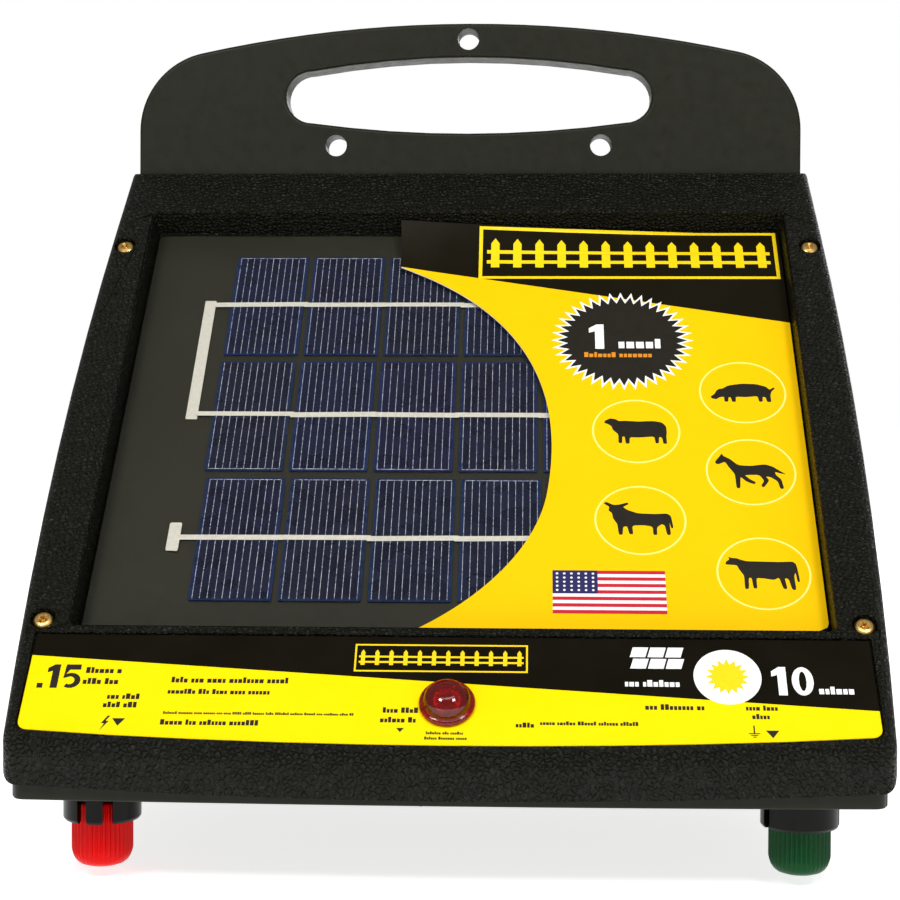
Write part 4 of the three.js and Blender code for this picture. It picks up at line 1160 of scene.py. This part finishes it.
def print_black_marks():
    """Arrows, a bolt, an earth sign, a figure and the lines of small print."""
    black = Shape()
    for arrow in ARROWS:
        coat(black, [down_arrow(*arrow)], LABEL_TOP)
    coat(black, [list(BOLT)], LABEL_TOP)
    coat(black, [rectangle(EARTH_X - 0.2, -255.4, EARTH_X + 0.2, -252.6)], LABEL_TOP)
    for half, y in EARTH_BARS:
        coat(black, [rectangle(EARTH_X - half, y - 0.14, EARTH_X + half, y + 0.14)], LABEL_TOP)
    for seed, (x, y, length, height) in enumerate(SMALL_PRINT):
        word_blocks(black, x, y, length, height, seed, LABEL_TOP)
    number(".15", -121.4, -241.6, 8.6, black, LABEL_TOP)
    label_print(black, "marks", "black")


# ---------------------------------------------------------------- indicator lens

LENS_Y = -246.2
LENS_STEPS = 64
DOME_RADIUS, DOME_HEIGHT = 6.95, 4.9
DOME_RINGS = 14
LAMP_HOLE = 3.3


def dome_rows(base):
    """The dome's rows, with a faint ring-shaped dimple near its middle."""
    rows = []
    for i in range(1, DOME_RINGS):
        angle = i / DOME_RINGS * math.pi / 2
        radius = DOME_RADIUS * math.cos(angle)
        dimple = -0.22 * math.exp(-((radius - 1.6) / 0.35) ** 2)
        rows.append((radius, base + 1.6 + DOME_HEIGHT * math.sin(angle) + dimple))
    return rows


def build_lens():
    """A flanged dome. Small ribs round the cone under it scatter the lamp's light."""
    low, high = box_of("indicator_lens", FACE)
    flange = (high.x - low.x) / 2
    base = high.z - 6.5
    rows = [(LAMP_HOLE, low.z), (5.2, low.z), (5.2, base), (flange, base), (flange, base + 0.8),
            (flange - 0.3, base + 1.25), (flange - 0.9, base + 1.5), (DOME_RADIUS + 0.25, base + 1.5),
            (DOME_RADIUS, base + 1.75), *dome_rows(base), (0, high.z - 0.3)]
    under = [(LAMP_HOLE, low.z), (LAMP_HOLE, base + 0.6), (2.9, base + 2.2), (1.4, base + 2.6),
             (0, base + 3.2)]

    def ribbed(row, step):
        in_groove = row[1] > base + 1 and step % 4 in (0, 1)
        return row[0] * 0.91 if in_groove else row[0]

    lens, inside = Shape(), Shape()
    lens.revolve(rows, LENS_STEPS, (0, LENS_Y))
    inside.revolve(under, LENS_STEPS, (0, LENS_Y), radius_of=ribbed)
    lens.add(inside.vertices, [face[::-1] for face in inside.faces])
    piece = lens.lid_piece("lens_dome", "red_lens", replaces=["indicator_lens"], smooth=True)
    weld(piece, 0.004)


# ---------------------------------------------------------------- lid screws

SHANK_RADIUS = 1.45


def cross_outline(arm, half):
    """A plus sign, as a closed outline."""
    quarter = [(arm, -half), (arm, half), (half, half)]
    return [point for turn in range(4) for point in turned(quarter, turn * math.pi / 2)]


def build_screw(node, turn):
    """A pan head with a cross recess on its shank."""
    low, high = box_of(node, FACE)
    x, y = (low.x + high.x) / 2, (low.y + high.y) / 2
    head, top, seat = (high.x - low.x) / 2, high.z, -2.5
    flat = 0.58 * head
    screw = Shape()
    rows = [(0, low.z), (0.75, low.z + 0.8), (SHANK_RADIUS, low.z + 2.5), (SHANK_RADIUS, seat),
            (head, seat), (head, seat + 0.9), (head * 0.94, top - 0.55), (head * 0.8, top - 0.2),
            (head * 0.62, top - 0.04), (flat, top)]
    screw.revolve(rows, 40, (x, y))
    cross = turned(cross_outline(head * 0.5, 0.42), turn)
    recess = placed(cross, x, y)
    deep = placed(cross, x, y, 0.55)
    rim = circle(x, y, flat, 40)
    screw.add([(*point, top) for point in rim + recess], triangles([rim, recess]))
    count = len(recess)
    walls = [(i, count + i, count + (i + 1) % count, (i + 1) % count) for i in range(count)]
    floor = tuple(range(count, 2 * count))
    screw.add([(*p, top) for p in recess] + [(*p, top - 1.1) for p in deep], [*walls, floor])
    piece = screw.lid_piece(node + "_head_and_shank", "plated_screw", replaces=[node])
    weld(piece, 0.004)
    bevelled(piece, 0.06, 1)


# ---------------------------------------------------------------- terminal knobs

RIBS = 38
RIB_STEPS = (0.0, 0.0, 0.45, 1.0, 1.0, 0.45)
RIB_DEPTH = 0.5
KNOB_BORE = 2.85


def build_knob(node, name, body):
    """A ribbed knob with a rounded end."""
    low, high = box_of(node)
    centre = ((low.x + high.x) / 2, (low.y + high.y) / 2)
    radius = (high.x - low.x) / 2
    bottom, top = low.z, high.z
    # Each row: radius, height, and how much of the ribs' depth it shows.
    rows = [(0, bottom, 0), (radius - 4.8, bottom, 0), (radius - 4.2, bottom + 0.12, 0),
            (radius - 2.5, bottom + 0.7, 0), (radius - 1.5, bottom + 1.5, 0),
            (radius - 0.75, bottom + 2.6, 0.1), (radius - 0.3, bottom + 3.8, 0.7),
            (radius - 0.08, bottom + 4.6, 1), (radius, bottom + 5.4, 1), (radius, top - 1.1, 1),
            (radius - 0.1, top - 0.6, 0.8), (radius - 0.6, top, 0.3), (KNOB_BORE, top, 0),
            (KNOB_BORE, bottom + 3.6, 0), (0, bottom + 3.6, 0)]

    def rib(row, step):
        return row[0] - RIB_DEPTH * row[2] * RIB_STEPS[step % len(RIB_STEPS)]

    knob = Shape()
    knob.revolve(rows, RIBS * len(RIB_STEPS), centre, radius_of=rib)
    slot = NODE_SLOTS[node]
    piece = knob.piece(name, [SLOT_MATERIALS[slot]], body, slot=slot, replaces=[node], smooth=True)
    bevelled(piece, 0.08, 1, 38)


# ---------------------------------------------------------------- inside the case


RESISTOR_LENGTH, RESISTOR_RADIUS = 5.6, 1.15
RESISTOR_PLACES = [(x, z) for z in (-34, 52) for x in range(-44, 50, 9)]
BAND_SHARES = (0.34, 0.46, 0.58)


def lathe(rows, segments):
    shape = Shape()
    shape.revolve(rows, segments)
    return shape


def build_board_details():
    """Resistors with painted bands and soldered ends on the circuit board's front."""
    front = box_of("circuit_board")[0].y
    draw = random.Random(11)
    length, radius = RESISTOR_LENGTH, RESISTOR_RADIUS
    resistor = lathe([(0, 0), (radius, 0.2), (radius * 1.08, 1.1), (radius * 0.92, 1.7),
                      (radius * 0.92, length - 1.7), (radius * 1.08, length - 1.1),
                      (radius, length - 0.2), (0, length)], 14)
    band = lathe([(radius * 0.96, 0), (radius * 0.96, 0.35)], 14)
    bead = lathe([(0.9, 0), (0.75, 0.35), (0.3, 0.7), (0, 0.75)], 10)
    resistors, bands, joints = Shape(), Shape(), Shape()
    for x, z in RESISTOR_PLACES:
        foot = z - length / 2
        resistors.add(resistor.moved(x, front - 1.5, foot), resistor.faces)
        for share in BAND_SHARES:
            bands.add(band.moved(x, front - 1.5, foot + length * share), band.faces)
        for side in (-1, 1):
            joint_z = z + side * (length / 2 + 1.6 + draw.uniform(0, 0.4))
            standing_out = [(x + px, front - pz, joint_z + py) for px, py, pz in bead.vertices]
            joints.add(standing_out, bead.faces)
    tan = plastic("resistor_tan", linear(196, 164, 116), 0.4, 0.6, 0.01, 0.1)
    brown = plastic("resistor_band", linear(90, 40, 24), 0.4, 0.6, 0.01, 0.1)
    solder = SLOT_MATERIALS["tinned_ribbon"]
    resistors.piece("board_resistors", [tan], "case", slot="circuit_board", smooth=True)
    bands.piece("board_resistor_bands", [brown], "case", slot="circuit_board", smooth=True)
    joints.piece("board_solder_joints", [solder], "case", slot="circuit_board", smooth=True)


COVER_SCREWS = ("cover_screw_top_left", "cover_screw_top_right", "cover_screw_bottom_left",
                "cover_screw_bottom_right")


def build_all():
    build_case()
    build_cover()
    build_string("cell_string_top", "cells_top", 1, 1)
    build_string("cell_string_middle", "cells_middle", 2, -1)
    build_string("cell_string_bottom", "cells_bottom", 3, 1)
    build_end_tab()
    build_card()
    build_card_print()
    print_yellow_marks()
    print_white_marks()
    print_black_marks()
    build_lens()
    for i, node in enumerate(COVER_SCREWS):
        build_screw(node, 0.5 + 1.1 * i)
    build_knob("fence_terminal_knob", "fence_knob_ribbed", "fence_knob")
    build_knob("ground_terminal_knob", "ground_knob_ribbed", "ground_knob")
    build_board_details()
    for node, piece in NODES.items():
        if not piece.hide_render:
            keep_node(node)


# ---------------------------------------------------------------- studio


# The studio's own sizes are in metres.
KNOB_ROOM = 0.0035
FLOOR_REACH = 9.0
OBJECT_MIDDLE = (0, -0.1, 0)


def build_floor():
    """A wide pale floor just under the knobs, with room for them to unscrew."""
    level = CAD_BOX[0].z - KNOB_ROOM
    corners = [(x, y, level) for x, y in rectangle(-FLOOR_REACH, -FLOOR_REACH, FLOOR_REACH, FLOOR_REACH)]
    mesh = bpy.data.meshes.new("studio_floor")
    mesh.from_pydata(corners, [], [(0, 1, 2, 3)])
    s = Surface("floor_white", Specular_IOR_Level=0.1, Roughness=0.7, Emission_Strength=0.76,
                Emission_Color=(1, 1, 1, 1))
    s.colour(s.mix(s.noise(400), linear(244, 244, 243), linear(250, 250, 249)))
    mesh.materials.append(s.material)
    floor = bpy.data.objects.new("studio_floor", mesh)
    bpy.context.scene.collection.objects.link(floor)


def build_world():
    """The camera sees a white room; the object is lit by a dimmer one."""
    world = bpy.data.worlds.new("studio")
    bpy.context.scene.world = world
    world.use_nodes = True
    tree = world.node_tree
    seen = tree.nodes["Background"]
    seen.inputs["Color"].default_value = (1, 1, 1, 1)
    seen.inputs["Strength"].default_value = 1.0
    lit = tree.nodes.new("ShaderNodeBackground")
    lit.inputs["Color"].default_value = (1.0, 0.985, 0.96, 1)
    lit.inputs["Strength"].default_value = 0.3
    path = tree.nodes.new("ShaderNodeLightPath")
    mix = tree.nodes.new("ShaderNodeMixShader")
    tree.links.new(path.outputs["Is Camera Ray"], mix.inputs[0])
    tree.links.new(lit.outputs[0], mix.inputs[1])
    tree.links.new(seen.outputs[0], mix.inputs[2])
    tree.links.new(mix.outputs[0], tree.nodes["World Output"].inputs["Surface"])


def softbox(name, location, target, width, height, watts):
    """A rectangular lamp aimed at a point."""
    light = bpy.data.lights.new(name, "AREA")
    light.shape = "RECTANGLE"
    light.size = width
    light.size_y = height
    light.energy = watts
    lamp = bpy.data.objects.new(name, light)
    lamp.location = location
    lamp.rotation_mode = "QUATERNION"
    lamp.rotation_quaternion = (Vector(target) - Vector(location)).to_track_quat("-Z", "Y")
    bpy.context.scene.collection.objects.link(lamp)


def build_camera():
    """The camera stands in front, a little to the right, at the height of the case's middle."""
    data = bpy.data.cameras.new("camera")
    data.sensor_width = 36
    data.lens = 78.27
    data.clip_start = 0.05
    data.clip_end = 50
    camera = bpy.data.objects.new("camera", data)
    camera.location = Vector((23.3, -755, 16.35)) * MM
    looks_at = Vector((-7.0, 0, -4.75)) * MM
    roll = math.radians(0.2)
    aim = (looks_at - camera.location).to_track_quat("-Z", "Y")
    camera.rotation_mode = "QUATERNION"
    camera.rotation_quaternion = aim @ Quaternion((0, 0, 1), roll)
    bpy.context.scene.collection.objects.link(camera)
    bpy.context.scene.camera = camera


build_all()
build_floor()
build_world()
softbox("key_left", (-0.5, -1.05, 0.8), OBJECT_MIDDLE, 0.26, 0.26, 6.2)
softbox("key_right", (0.56, -1.05, 0.8), OBJECT_MIDDLE, 0.26, 0.26, 5.6)
softbox("above", (0.1, -0.95, 1.1), OBJECT_MIDDLE, 0.9, 0.4, 4.5)
softbox("back", (0.4, 1.3, 0.7), (0, 0, 0), 1.2, 0.9, 7)
build_camera()
bpy.context.scene.view_settings.view_transform = "Standard"
